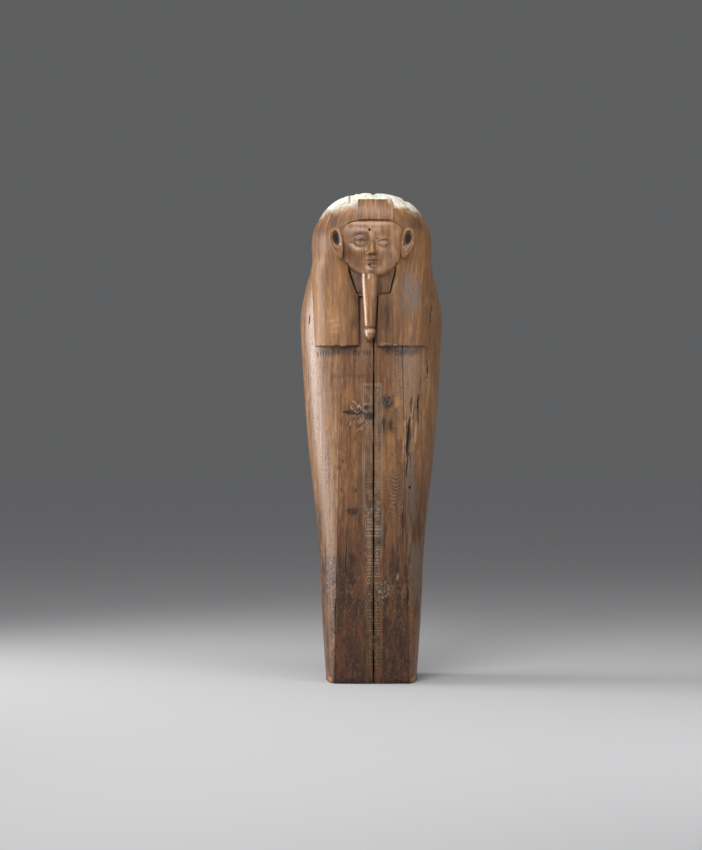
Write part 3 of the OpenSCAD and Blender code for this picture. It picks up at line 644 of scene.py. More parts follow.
def front_plank(side, name):
    z = np.concatenate([rows_between(*part) for part in plank_rows])
    across = np.linspace(0, 1, 71)[None, :]
    middle = joint_mid + side * (joint_open / 2 + 1.6 * cloud(z * 0 + 30 * side, z, 50, 35, 24) - 0.8)
    ends = (side * joint_x(z), middle) if side < 0 else (middle, side * joint_x(z))
    x = mix(*ends, across)
    z = z + 0 * x
    marks = lid_marks(x, z, x)
    edge_marks(marks, np.abs(x - middle), z)
    edge_marks(marks, np.abs(x - side * joint_x(z)), z)
    face = front_depth(x, z)
    piece = solid_piece(name, (x, face - marks.low, z), (x, face - plank_t + hewn(x, z), z), x, z, marks)
    return finish(piece, "lid", "plank", "lid_" + name)


fronts = [front_plank(side, f"{word}_front_plank") for word, side in SIDES.items()]

# %% Side planks, with the slots that the rim tenons slide into
tenon_zs = [180, 620, 1060, 1360]
slot_size = (11.6, 89.6, 63.6)


def side_tints(marks, x, z, way):
    """Grey strips on the right, a warm rim and grey flecks on the left."""
    streaky = smooth(0.5 * cloud(way, z, 4, 90, 27) + 0.5 * cloud(way, z, 9, 40, 60), 0.3, 0.7)
    strip = between(x, 150, 188, 9) * between(z, 300, 545, 40) * (0.55 + 0.45 * streaky)
    marks.dye(-1, strip)
    dusk = between(x, 122, 176, 14) * between(z, 600, 880, 50) * (0.35 + 0.65 * streaky)
    marks.dye(-0.7, 0.8 * dusk)
    marks.add(stain=0.4 * dusk)
    rim = smooth(x, half_width(z) - 10, half_width(z) - 1) * smooth(cloud(way, z, 22, 130, 28), 0.3, 0.65)
    marks.dye(0.6, rim * (0.4 + 0.6 * streaky))
    fleck = smooth(cloud(way, z, 8, 22, 29), 0.72, 0.9) * (x < 0)
    marks.dye(-0.5, fleck * between(z, 300, 760, 60))


def side_plank(side, name):
    z = rows_between(0, wig_z, row_step)
    t = np.linspace(0, 1, 67)[None, :] ** 1.2
    x, d = side_point(t, z)
    z = z + 0 * x
    run_x, run_d = heading(side_point, t, z, 0.005)
    steps = np.hypot(np.diff(x, axis=1, prepend=x[:, :1]), np.diff(d, axis=1, prepend=d[:, :1]))
    round_way = np.cumsum(steps, axis=1)
    way = side * (joint_x(z) + round_way)
    marks = lid_marks(side * x, z, way)
    side_tints(marks, side * x, z, way)
    edge_marks(marks, round_way, z, depth=0.8)
    edge_marks(marks, d, z, depth=0.8, dirt=0.3)
    low = marks.low * smooth(d, 0, 12)
    inner_x, inner_d = side_point(t, z, plank_t)
    front = (side * (x + run_d * low), d - run_x * low, z)
    piece = solid_piece(name, front, (side * inner_x, inner_d, z), way, z, marks, side)
    cut_boxes(piece, [(side * plank_middle(h), 0, h) for h in tenon_zs], slot_size)
    return finish(piece, "lid", "plank", "lid_" + name)


sides = [side_plank(side, f"{word}_side_plank") for word, side in SIDES.items()]

# %% [markdown]
# ## The wig
# The hair is one smooth mass that hangs from the crown in front of the shoulders, in two halves that meet
# at the crown. Each half is one closed grid here: the rows climb from the end of the lappet to the crown,
# and the columns run from the face to the rim. Its inside is hollow above the planks, so the piece still
# looks right when the lid is lifted. Cutting the face opening with a boolean would work too, but columns
# that follow the opening give it a clean, rounded edge.

# %% The opening for the face
mask_low, mask_high = corners("face_mask")
throat_z, brow_z, mask_half = mask_low[2], mask_high[2], mask_high[0]
chin_z, jaw_z, jaw_power = 1562, 1690, 2.4
temple_z, temple_power = 1715, 3.2
temple_rise = brow_z - temple_z
throat_low = {-1: 50, 1: 60}
throat_high, throat_top_z = 86, 1600
beard_low, beard_high = corners("beard")
beard_x, beard_z, beard_top_z = (beard_low[0] + beard_high[0]) / 2, beard_low[2], beard_high[2]
left_gap, right_gaps = 47, (27, 30)
arch_rows = temple_z + temple_rise * np.sin(np.linspace(0, 1.4576, 30)) ** (2 / temple_power)


def jaw_half(z):
    drop = np.clip((jaw_z - z) / (jaw_z - chin_z), 0, 1)
    return mask_half * (1 - drop ** jaw_power) ** (1 / jaw_power)


def mask_side(side, z):
    """Half width of the mask: the throat opens upward like a V, as far as the jaw."""
    rise = np.clip((z - temple_z) / temple_rise, 0, 0.996)
    brow = mask_half * (1 - rise ** temple_power) ** (1 / temple_power)
    throat = mix(throat_low[side], throat_high, share(z, throat_z, throat_top_z)) * (z < throat_top_z)
    return np.where(z > jaw_z, brow, np.maximum(throat, jaw_half(z)))


def hair_edge(side, z):
    """Distance from the middle at which the hair begins, beside the beard below and the face above."""
    beside = left_gap if side < 0 else beard_x + mix(*right_gaps, share(z, lappet_z, throat_z))
    edge = mix(beside, mask_side(side, z) + 0.6, smooth(z, throat_z - 4, throat_z + 10))
    return np.minimum(edge, 0.62 * half_width(z))


def brow_reach(x, z):
    """How far a point lies from the middle of the brow, with its rounded edge at 1."""
    across, rise = np.abs(x) / mask_half, np.maximum(z - temple_z, 0) / temple_rise
    return (across ** temple_power + rise ** temple_power) ** (1 / temple_power)


def opening_away(x, z, side):
    """Distance of the hair from the edge of the opening for the face."""
    reach = np.maximum(brow_reach(x, z), 0.5)
    slope_x = (np.abs(x) / mask_half / reach) ** (temple_power - 1) / mask_half
    slope_z = (np.maximum(z - temple_z, 0) / temple_rise / reach) ** (temple_power - 1) / temple_rise
    over = (reach - 1) / np.maximum(np.hypot(slope_x, slope_z), 1e-4)
    return np.maximum(np.where(z > temple_z, over, x - hair_edge(side, z)), 0)


print("Hair edge beside the cheek:", hair_edge(1, np.array([1700.0])), "mm")

# %% Where the hair lies
lappet_gap, pocket_d, wig_wall = 0.8, 211, 45
neck_deep, wig_deep, hollow_deep = 250, 275, 165
dome_rim, rim_share = 6, 0.985
edge_round, hair_hollow = 4, 10
lappet_front = 5 / 16


def lappet_place(u, z, side):
    """Place across the lid's section under a lappet, from its inner edge at 0 to its outer edge at 1."""
    inner = section_place(hair_edge(side, z), z)
    outer = section_place(mix(209, 230, share(z, lappet_z, wig_z)), z)
    on_front, on_side = mix(inner, 1, u / lappet_front), mix(1, outer, share(u, lappet_front, 1))
    return np.where(u < lappet_front, on_front, on_side)


def lappet_thick(u, z):
    rise = share(z, lappet_z, wig_z)
    return mix(mix(14, 4, rise), mix(25, 47, rise), np.sin(np.pi / 2 * np.minimum(1, 2 * (1 - u))))


def wig_depth(z):
    below = mix(neck_deep, wig_deep, smooth(z, wig_z, head_z))
    return np.where(z < head_z, below, wig_deep * head_share(z, head_rise))


def dome_angle(x, wide):
    return np.sign(x) * np.arcsin(np.clip(np.abs(x) / np.maximum(wide, 0.01), 0, 1) ** 1.5)


def dome_point(angle, wide, deep):
    rim = np.minimum(dome_rim, deep)
    across = np.sign(angle) * wide * np.abs(np.sin(angle)) ** (2 / 3)
    return across, rim + (deep - rim) * np.clip(np.cos(angle), 0, 1) ** (2 / 3)


def wig_face(x, z):
    return dome_point(dome_angle(x, half_width(z)), half_width(z), wig_depth(z))[1]


def hair_point(u, z, side):
    """Front of the hair, from its edge beside the face at 0 to its outer edge at 1."""
    low_z, high_z = np.minimum(z, wig_z), np.maximum(z, wig_z)
    low = section_offset(lappet_place(u, low_z, side), low_z, lappet_thick(u, low_z))
    wide = half_width(high_z)
    inner, outer = dome_angle(hair_edge(side, high_z), wide), dome_angle(rim_share * wide, wide)
    high = dome_point(mix(inner, outer, u), wide, wig_depth(high_z))
    rise = smooth(z, 1545, 1650)
    return mix(low[0], high[0], rise), mix(low[1], high[1], rise)


def rounding(away, z):
    """How far the hair falls toward the face, in a wide hollow that ends in a small round."""
    inside = np.clip(edge_round - away, 0, edge_round)
    hollow = hair_hollow * (1 - 0.7 * smooth(z, temple_z, brow_z))
    return edge_round - np.sqrt(edge_round ** 2 - inside ** 2) + hollow * (1 - smooth(away, 0, 30))


print("Front of the hair above the brow:", wig_face(np.array([0.0]), np.array([brow_z])), "mm")

# %% Marks on the hair: streaks, a ragged pale crown that is partly painted top light, chips, grey patches, painted shade and painted rim light
# The last four tints, along the outer edges of the hair, are painted rim light.
wig_tints_and_rim_light = [
    ((141, 1500), (62, 80), -1.0), ((-152, 1766), (30, 34), -0.35), ((152, 1762), (44, 40), -0.35),
    ((-144, 1385), (32, 48), 0.6), ((137, 1362), (24, 32), 0.7), ((-96, 1822), (34, 18), 0.6),
    ((112, 1824), (18, 26), 0.6), ((-120, 1560), (24, 60), 0.35), ((-190, 1640), (14, 90), 0.5),
    ((205, 1660), (14, 90), 0.5), ((-205, 1800), (24, 40), 0.5), ((205, 1790), (20, 40), 0.45),
]
# Of these stains, the ones beside the ears, along the inner edges of the lappets and high on the left side
# are painted shade.
wig_stains_and_shade = [
    ((-150, 1766), (34, 42), 0.85), ((154, 1764), (50, 44), 0.95), ((-70, 1420), (18, 120), 0.85),
    ((54, 1415), (30, 90), 0.85), ((-118, 1330), (12, 60), 0.4), ((-40, 1835), (30, 12), 0.3),
    ((-195, 1745), (34, 100), 0.7), ((-178, 1560), (14, 70), 0.35), ((120, 1640), (26, 60), 0.4),
]
wig_scratches = [[(-162, 1392), (-128, 1396)], [(-150, 1372), (-123, 1376)], [(-158, 1350), (-130, 1351)]]
wig_crack = [(-89, 1845), (-88, 1890)]


def wig_marks(x, z):
    marks = Marks(x)
    # The pale crown is partly pale weathered wood and partly painted top light.
    ragged = 26 * cloud(x, z, 40, 34, 33) + 24 * cloud(x, z, 12, 13, 30) + 16 * cloud(x, z, 4.5, 6, 69)
    marks.pale = smooth(z + ragged + 22 * smooth(np.abs(x - 10), 90, 180), 1840, 1908)
    marks.dirt = 0.35 * marks.pale * smooth(cloud(x, z, 5, 7, 70), 0.68, 0.88)
    marks.groove(track(x, z, wig_crack)[0], 3, 3, dirt=0.9)
    for ends in wig_scratches:
        marks.add(pale=0.2 * (bell(track(x, z, ends)[0], 4) * cloud(x, z, 9, 5, 45)))
    streaky = smooth(0.6 * cloud(x, z, 15, 60, 34) + 0.4 * cloud(x, z, 5, 40, 40), 0.3, 0.7)
    gold = smooth(0.5 * cloud(x, z, 34, 260, 35) + 0.5 * cloud(x, z, 7, 180, 29), 0.5, 0.8)
    marks.tint = marks.tint + 0.3 * gold
    for at, radii, tint in wig_tints_and_rim_light:
        marks.dye(tint, hill(x, z, at, radii) * (0.25 + 0.75 * streaky))
    for at, radii, stain in wig_stains_and_shade:
        marks.add(stain=stain * hill(x, z, at, radii) * (0.35 + 0.65 * streaky))
    corner = between(x, 30, 92, 6) * (1 - smooth(z, 1296, 1312))
    chips = corner * smooth(cloud(x, z, 6, 5, 36), 0.5, 0.7)
    shadow = (1 - smooth(np.abs(x + 6), 50, 120)) * (1 - smooth(z, 1480, 1580))
    marks.add(pale=0.7 * chips, stain=0.55 * shadow * (0.4 + 0.6 * cloud(x, z, 8, 120, 37)))
    ridges = 0.5 * cloud(x, z, 8, 300, 31) + 0.3 * cloud(x, z, 3.5, 150, 32)
    marks.low = marks.low + ridges + 4 * chips
    return marks


def ragged_crown(x, d, z):
    """Draws the worn crown in towards the middle of the head."""
    middle_d = 60
    worn = smooth(z, 1820, 1890)
    bite = 0.012 * cloud(x, z, 24, 30, 38) + 0.014 * smooth(cloud(x, z, 12, 16, 39), 0.6, 0.9)
    notch = 0.03 * bell(x - 7, 8) + 0.035 * hill(x, z, (133, 1867), (9, 16))
    keep = 1 - worn * (bite + notch)
    slim = 1 - 0.028 * between(z, 1770, 1880, 40)
    return x * keep * slim, middle_d + (d - middle_d) * keep, head_z + (z - head_z) * keep


def ragged_hem(x, z):
    """How far the worn lower edge of a lappet lies up or down."""
    wave = 5 * cloud(x, 0 * z, 22, 50, 52) + 3 * cloud(x, 0 * z, 7, 50, 53) - 3
    return np.where(z < wig_z, wave * (1 - smooth(z, lappet_z, lappet_z + 16)), 0)


print("Marks on the hair:", len(wig_tints_and_rim_light), "tints,", len(wig_stains_and_shade), "stains")

# %% The two halves of the hair
hem_round = [2.2, 0.8, 0.2]


def wig_rows():
    """Heights of the rows, with pairs close together where the lappet and the opening end."""
    turn = np.linspace(math.asin(((brow_z + 12 - head_z) / head_rise) ** (head_power / 2)), math.pi / 2, 46)
    return np.concatenate([
        [lappet_z, lappet_z + 0.7, lappet_z + 2], np.linspace(lappet_z + 5, wig_z + 0.3, 110),
        np.linspace(wig_z + 0.4, temple_z - 3, 48), arch_rows,
        brow_z + np.array([0.4, 0.5, 1.3, 2.6, 4.5, 6.5, 9]),
        head_z + head_rise * np.sin(turn) ** (2 / head_power)])[:, None]


def wig_half(side, name, *nodes):
    """Columns run over the floor of the opening, then the hair, then the outer edge to the rim."""
    z = wig_rows()
    opening = np.linspace(0, 1, 35)[None, :]
    hair = np.r_[0, 0.006, 0.014, 0.024, np.linspace(0.036, 1, 42)][None, :]
    edge = np.linspace(0, 1, 23)[None, 1:]
    on_lappet, in_pocket = z < wig_z + 0.35, z < brow_z + 0.45
    body_z, dome_z = np.minimum(z, wig_z), np.maximum(z, wig_z)
    wide, deep = half_width(dome_z), wig_depth(dome_z)
    begin = hair_edge(side, z)
    start = np.clip(side * joint_mid + 0.3, -wide, wide)
    top_x, top_d = hair_point(hair, z, side)
    hem = np.array(hem_round + [0] * (len(z) - len(hem_round)))[:, None]
    top_d = top_d - rounding(opening_away(top_x, z, side), z) - hem
    base_in = section_offset(section_place(begin, body_z), body_z, lappet_gap)
    base_out = section_offset(lappet_place(1.0, body_z, side), body_z, lappet_gap)
    dome = dome_point(mix(dome_angle(start, wide), dome_angle(begin, wide), opening), wide, deep)
    fall = rounding(opening_away(dome[0], z, side), z)
    floor_x = np.where(on_lappet, base_in[0], np.where(in_pocket, mix(start, begin, opening), dome[0]))
    floor_d = np.where(on_lappet, base_in[1], np.where(in_pocket, pocket_d, dome[1] - fall))
    rim_angle = dome_angle(rim_share * wide, wide)
    rim = dome_point(mix(rim_angle, math.pi / 2, edge), wide, deep)
    rim_first = dome_point(rim_angle, wide, deep)
    last_x, last_d = top_x[:, -1:], top_d[:, -1:]
    side_x = rim[0] + (last_x - rim_first[0]) * (1 - edge)
    rim_drop = (np.minimum(dome_rim, deep) - seam_gap) * edge ** 4
    side_d = rim[1] + (last_d - rim_first[1]) * (1 - edge) - rim_drop
    side_x = np.where(on_lappet, mix(last_x, base_out[0], edge), side_x)
    side_d = np.where(on_lappet, mix(last_d, base_out[1], edge), side_d)
    x, d = np.hstack([floor_x, top_x, side_x]), np.hstack([floor_d, top_d, side_d])
    under = section_offset(lappet_place(hair, body_z, side), body_z, lappet_gap)
    hole_rise = (head_rise - wig_wall + head_z - wig_z) / (crown_z - wig_z)
    hole_z = wig_z + 0.4 + np.maximum(z - wig_z - 0.4, 0) * hole_rise
    hole_wide = half_width(hole_z, wig_wall)
    hole_deep = hollow_deep * head_share(hole_z, head_rise - wig_wall)
    turn = np.linspace(0, 1, x.shape[1])[None, :]
    first = dome_angle(np.clip(start, -hole_wide, hole_wide), hole_wide)
    hole = dome_point(mix(first, math.pi / 2, turn), hole_wide, hole_deep)
    back_x, back_d = [np.hstack([base_in[k] + 0 * opening, under[k], base_out[k] + 0 * edge]) for k in (0, 1)]
    back_x = np.where(on_lappet, back_x, hole[0])
    back_d = np.where(on_lappet, back_d, np.maximum(hole[1] - 5.5 * turn ** 12, seam_gap))
    z = z + 0 * x
    marks = wig_marks(side * x, z)
    # Painted shade on the outer side wall of each lappet.
    marks.add(dirt=0.6 * (np.hstack([0 * opening, 0 * hair, np.minimum(1, 8 * edge)]) * on_lappet))
    on_edge = np.hstack([1 + 0 * opening, 1 + 0 * hair, 1 - edge])
    on_hair = np.hstack([0 * opening, 1 + 0 * hair, 0 * edge])
    relief = marks.low * np.where(on_lappet, on_hair, on_edge)
    rag = ragged_hem(side * x, z)
    front = ragged_crown(side * x, d - relief, z + rag)
    behind = (side * back_x, back_d, np.where(on_lappet, z + rag, hole_z))
    fallen = 0.7 * np.maximum(neck_deep - d, 0)
    piece = solid_piece(name, front, behind, side * (x + fallen), z + fallen, marks, side)
    close(piece)
    return finish(piece, "lid", "carved", *nodes, crease=50)


wigs = [wig_half(side, f"{word}_wig", f"{word}_wig_block", f"{word}_lappet") for word, side in SIDES.items()]

# %% [markdown]
# ## The face
# The mask was carved as a separate piece and pegged on. Its face is a general one, laid out as drawing
# books teach: three equal parts from chin to hair, five eye widths across, and a calm mouth. Each feature
# is a soft hill or hollow added to one height map, as a carver works down from the highest point.

# %% Proportions and the height of the face
third = (brow_z - chin_z) / 3
eye_w = 2 * mask_half / 5
nose_base, brow_line = chin_z + 1.1 * third, chin_z + 2 * third
mouth_z, eye_z = chin_z + 0.8 * third, brow_line - 0.22 * third
cheek_d, throat_d, mask_back_d = 272, 235, 212.4


def face_form(z, reach):
    """Rounded head without features, from the middle out to the rim at a reach of 1."""
    rim = mix(240, 252, smooth(z, chin_z, jaw_z)) - 5 * smooth(z, temple_z, brow_z)
    jaw = 1 - 0.2 * (1 - share(z, chin_z, chin_z + third)) ** 2
    return mix(rim, cheek_d, (1 - reach ** 2.6) * jaw)


def nose_form(x, z):
    tip_z = nose_base + 10
    length = share(z, brow_line + 6, tip_z)
    height = mix(4, 26, length ** 1.4) * smooth(z, nose_base - 2, tip_z - 1)
    height = height * (1 - smooth(z, brow_line, brow_line + 26))
    ridge = height * np.exp(-(np.abs(x) / mix(8.5, 12.5, length)) ** 2.5)
    wings = 9 * hill(np.abs(x), z, (15.5, nose_base + 7), (7.5, 8))
    nostrils = 5 * hill(np.abs(x), z, (8.5, nose_base), (4.6, 3))
    return ridge + wings - nostrils


def eye_lines(x, z):
    """Place across an eye, from -1 to 1, and the distances above its upper and below its lower lid."""
    across = (np.abs(x) - eye_w) / (eye_w / 2)
    open_eye = np.clip(1 - across ** 2, 0, 1)
    return across, z - eye_z - 11 * open_eye ** 0.8, eye_z - 7 * open_eye - z


def eye_form(x, z):
    across, above, below = eye_lines(x, z)
    lids = 2.8 * smooth(above, -0.9, 0.9) * bell(np.maximum(above, 0), 6)
    lids = lids + 2.2 * smooth(below, -0.9, 0.9) * bell(np.maximum(below, 0), 5)
    ball = 9 * np.sqrt(np.clip(1 - (across / 1.25) ** 2 - ((z - eye_z - 1) / 18) ** 2, 0, 1))
    socket = 11 * np.exp(-((np.abs(x) - 0.8 * eye_w) / (0.75 * eye_w)) ** 2 - ((z - eye_z - 3) / 18) ** 2)
    tail = 1.4 * bell(z - eye_z - 1.5 * (across - 1), 2.2) * between(across, 1.1, 1.9, 0.12)
    arch = brow_line + 5 - 5 * (across + 0.1) ** 2
    brow = 3.2 * bell(z - arch, 4) * between(across, -1.1, 1.7, 0.2)
    return ball - socket + lids * (1 - smooth(np.abs(across), 1.0, 1.5)) + tail + brow


def mouth_form(x, z):
    half = 0.7 * eye_w
    across = np.clip(np.abs(x) / half, 0, 1.5)
    seam = mouth_z + 2 * across ** 2
    full = np.clip(1 - across ** 2, 0, 1)
    top = np.clip((z - seam) / (0.5 + (9.5 - 2 * bell(x, 5)) * full ** 0.7), 0, 1)
    low = np.clip((seam - z) / (0.5 + 11 * full ** 0.6), 0, 1)
    lips = 5 * full ** 0.8 * (4 * top * (1 - top)) ** 0.8 + 6 * full ** 0.8 * (4 * low * (1 - low)) ** 0.8
    slit = 1.8 * bell(z - seam, 1.2) * (1 - smooth(across, 0.85, 1.05))
    ends = 0.6 * np.exp(-((across - 1.05) * half / 9) ** 2 - ((z - seam) / 10) ** 2)
    return lips - slit - ends - 1.4 * hill(x, z, (0, mouth_z + 15), (4, 6))


def face_depth(x, z, reach):
    chin = 7 * hill(x, z, (0, chin_z + 17), (25, 15)) - 2 * hill(x, z, (0, mouth_z - 18), (26, 9))
    cheeks = 4 * hill(np.abs(x), z, (1.3 * eye_w, nose_base + 16), (27, 24))
    fold = 0.7 * bell(track(np.abs(x), z, [(24, nose_base + 6), (40, mouth_z)])[0], 7)
    features = (nose_form(x, z), eye_form(x, z), mouth_form(x, z), chin, cheeks, -fold)
    face = sum(features, face_form(z, reach))
    throat = throat_d - 12 * (x / throat_high) ** 2 - 9 * (1 - smooth(z, throat_z, throat_z + 16))
    on_face = smooth(jaw_half(z) - np.abs(x), -4, 9) * smooth(z, chin_z - 8, chin_z + 6)
    return mix(throat, face, np.where(z > throat_top_z + 12, 1, on_face))


print("Mouth, nose and eyes at", round(mouth_z), round(nose_base), round(eye_z), "mm")

# %% The mask, with the two holes of its pegs
peg_x, peg_zs, peg_d, peg_drill = -10, (1602, 1735), 260, 160
hair_over = 3
mouth_half = 31


def face_marks(x, z):
    marks = Marks(x)
    off_mouth = np.abs(x) > mouth_half
    slit = np.abs(z - mouth_z - 2 * np.clip(np.abs(x) / mouth_half, 0, 1.5) ** 2) + 9 * off_mouth
    across, above, below = eye_lines(x, z)
    lid = np.minimum(np.abs(above), np.abs(below))
    # Painted shade in the creases and hollows of the face: along the mouth, in the nostrils and along the
    # lids.
    marks.dirt = 0.5 * bell(slit, 1.6)
    marks.add(dirt=0.8 * hill(np.abs(x), z, (8.5, nose_base), (4.2, 2.8)))
    marks.add(dirt=0.45 * bell(lid, 1.5) * between(across, -1, 1.1, 0.1))
    # Painted shade in the sockets under the brows and beside the nose.
    marks.stain = 0.5 * hill(np.abs(x), z, (0.9 * eye_w, brow_line - 7), (26, 8))
    marks.add(stain=0.4 * hill(np.abs(x), z, (24, nose_base + 14), (7, 16)))
    marks.add(stain=0.35 * smooth(cloud(x, z, 30, 44, 66), 0.45, 0.75))
    worn = hill(x, z, (0, nose_base + 22), (7, 26)) + hill(np.abs(x), z, (1.25 * eye_w, eye_z - 24), (22, 9))
    marks.tint = 0.6 * np.clip(worn, 0, 1)
    marks.spot(x, z, (58, 1642), (24, 30), stain=0.3, tint=-0.5)
    streak = bell(x - mask_half + 14, 5) * between(z, 1610, 1750, 20)
    marks.add(tint=0.45 * streak)
    marks.pale = 0.3 * bell(z - throat_z, 3)
    # Painted shadow on the throat under the jaw and the chin.
    painted_jaw_shadow = (1 - smooth(jaw_half(z) - np.abs(x), -6, 4)) * (z < throat_top_z)
    under = np.maximum(painted_jaw_shadow, 1 - smooth(z, chin_z - 14, chin_z + 4))
    marks.add(stain=0.8 * under * (0.6 + 0.4 * cloud(x, z, 9, 60, 43)))
    marks.low = 0.25 * cloud(x, z, 5, 140, 42)
    return marks


def face_mask():
    z = np.concatenate([rows_between(throat_z, temple_z - 1, 1.5), arch_rows[:, None]])
    reach = np.linspace(-1, 1, 147)[None, :]
    half = np.where(reach < 0, mask_side(-1, z), mask_side(1, z))
    x = reach * half
    z = z + 0 * x
    on_brow = np.minimum(brow_reach(x, z), 1)
    beside = np.minimum(np.abs(x) / np.maximum(jaw_half(z), 1), 1)
    marks = face_marks(x, z)
    rim = np.where(z > temple_z, (1 - on_brow) * mask_half, (1 - np.abs(reach)) * half)
    edge_marks(marks, rim, z, depth=0.6, dirt=0.2)
    under_hair = x + np.sign(reach) * hair_over * np.abs(reach) ** 8
    deep = face_depth(x, z, np.where(z > temple_z, on_brow, beside))
    piece = solid_piece("mask", (under_hair, deep - marks.low, z), (x, mask_back_d, z), x, z, marks)
    cut_rods(piece, [(peg_x, peg_d, h) for h in peg_zs], peg_hole, peg_drill, backward)
    return finish(piece, "lid", "carved", "face_mask", crease=60)


mask = face_mask()

# %% [markdown]
# ## Ears, beard and the patch above the brow
# The ears were carved apart and pegged to the wig. The false beard is a long tapered rod with a curled tip,
# and a patch of another wood is let in above the brow. A grid bent round into a tube makes the beard: its
# first and last columns meet and its ends draw together, so that merging doubles closes it.

# %% Ears
ear_lean, ear_up, ear_back_d = 22, -7, 225.4


def ear(side, name):
    """An ear on a grid from -1 to 1 both ways, with its bowl, rim, inner fold, flap and lobe."""
    low, high = corners(name)
    mid_x, mid_z = (low[0] + high[0]) / 2, (low[2] + high[2]) / 2 + ear_up
    half_w, half_h = 1.08 * (high[0] - low[0]) / 2, (high[2] - low[2]) / 2
    z = np.linspace(-1, 1, 89)[:, None]
    across = np.linspace(-1, 1, 45)[None, :]
    power = mix(2.0, 2.7, smooth(z, -0.6, 0.4))
    narrow = 1 - 0.36 * smooth(-z, -0.1, 0.95)
    x = across * (1 - 0.985 * np.abs(z) ** power) ** (1 / power) * narrow
    out = side * x
    far = np.hypot(out / narrow, z)
    rim = smooth(out + 0.9 * z, -0.7, 0.1)
    helix = 5 * bell(far - 0.9, 0.1) * rim - 3 * bell(far - 0.7, 0.08) * rim
    bowl = np.exp(-(((out + 0.06) / 0.55) ** 2 + ((z - 0.3) / 0.48) ** 2) ** 1.6)
    ring = np.hypot((out + 0.1) / 0.5, (z - 0.3) / 0.5)
    fold = 3 * bell(ring - 1.1, 0.2) * smooth(out, -0.3, 0.3)
    flap = 4 * hill(out, z, (-0.72, 0.05), (0.18, 0.16))
    lobe = 3 * hill(out, z, (0, -0.7), (0.4, 0.25))
    form = 15 + helix + fold + flap + lobe - 13 * bowl - 8 * smooth(far, 0.93, 1.03)
    place_x = mid_x + half_w * x - side * (ear_lean * share(-z, -0.5, 1) ** 1.4 - 1)
    place_z = mid_z + half_h * z + 0 * x
    marks = Marks(x)
    # Painted shade in the bowl of the ear.
    marks.dirt = np.clip(1.6 * bowl - 0.3, 0, 1)
    marks.tint = 0.4 * bell(far - 0.9, 0.12) * rim
    marks.low = 0.2 * cloud(place_x, place_z, 4, 30, 44)
    front = wig_face(place_x, place_z) + np.maximum(form - marks.low, 1.5)
    back = (place_x, np.minimum(front - 3, ear_back_d), place_z)
    piece = solid_piece(name + "_carved", (place_x, front, place_z), back, place_x, place_z, marks)
    return finish(piece, "lid", "carved", name, crease=60)


ears = [ear(side, f"{word}_ear") for word, side in SIDES.items()]

# %% The beard
beard_t, chin_tuck = 40, 20
shaft_z, bulb_z, ring_z = beard_z + 52, beard_z + 24, beard_z + 47
grain_round = 24


def beard_half(z):
    shaft = mix(44, 64, share(z, shaft_z, beard_top_z)) / 2
    neck = mix(45, 44, smooth(z, bulb_z, shaft_z)) / 2
    tip = 22.5 * np.sqrt(np.clip(1 - ((bulb_z - z) / 25) ** 2, 0.02, 1))
    return np.where(z > shaft_z, shaft, np.where(z > bulb_z, neck, tip))


def beard_piece():
    """Rows climb the beard, and columns run round it from the back, with a fuller curve in front."""
    top_z = beard_top_z + chin_tuck
    z = np.concatenate([[beard_z], np.linspace(beard_z, top_z, 136), [top_z]])[:, None]
    angle = np.linspace(0, 2 * np.pi, 81)[None, :]
    half = beard_half(np.minimum(z, beard_top_z))
    thick = beard_t / 2 * np.minimum(1, half / 20)
    widest = 0.4 + mix(front_depth(beard_x, beard_z), throat_d, share(z, beard_z, throat_z)) + beard_t / 3.6
    across, forward = -np.sin(angle), -np.cos(angle)
    power = np.where(forward > 0, 1.16, 0.9)
    round_x = np.sign(across) * np.abs(across) ** power
    round_d = np.where(forward > 0, 1.44, 0.56) * np.sign(forward) * np.abs(forward) ** power
    curl = (1 - smooth(z, beard_z + 34, ring_z)) * np.clip(forward, 0, 1)
    ring = bell(z - ring_z, 4)
    tuck = 3 * smooth(z, beard_top_z - 6, top_z)
    ends = np.r_[0, np.ones(len(z) - 2), 0][:, None]
    x = beard_x + ends * (half * (1 - 0.06 * ring) * round_x)
    d = widest - tuck + ends * ((thick - 3.5 * ring) * round_d + 7 * curl)
    z = z + 0 * x
    marks = Marks(x)
    marks.dirt = 0.45 * ring * (forward > -0.5)
    # Painted highlight on the upper ledge of the curled tip.
    marks.pale = 0.3 * curl * between(z, beard_z + 28, beard_z + 44, 4)
    marks.stain = 0.3 * smooth(cloud(x, z, 10, 120, 46), 0.45, 0.8)
    marks.add(stain=0.5 * smooth(np.abs(across), 0.55, 0.95))
    marks.tint = 0.5 * smooth(cloud(x, z, 7, 160, 47), 0.4, 0.8)
    piece = grid("beard_carved", x.shape, solid=False)
    lay_out(piece, (x, d, z))
    paint(piece, grain_round * angle, z, marks)
    close(piece)
    return finish(piece, "lid", "dark", "beard", crease=60)


beard = beard_piece()

# %% The patch above the brow
patch_proud, patch_t = 1.6, 16


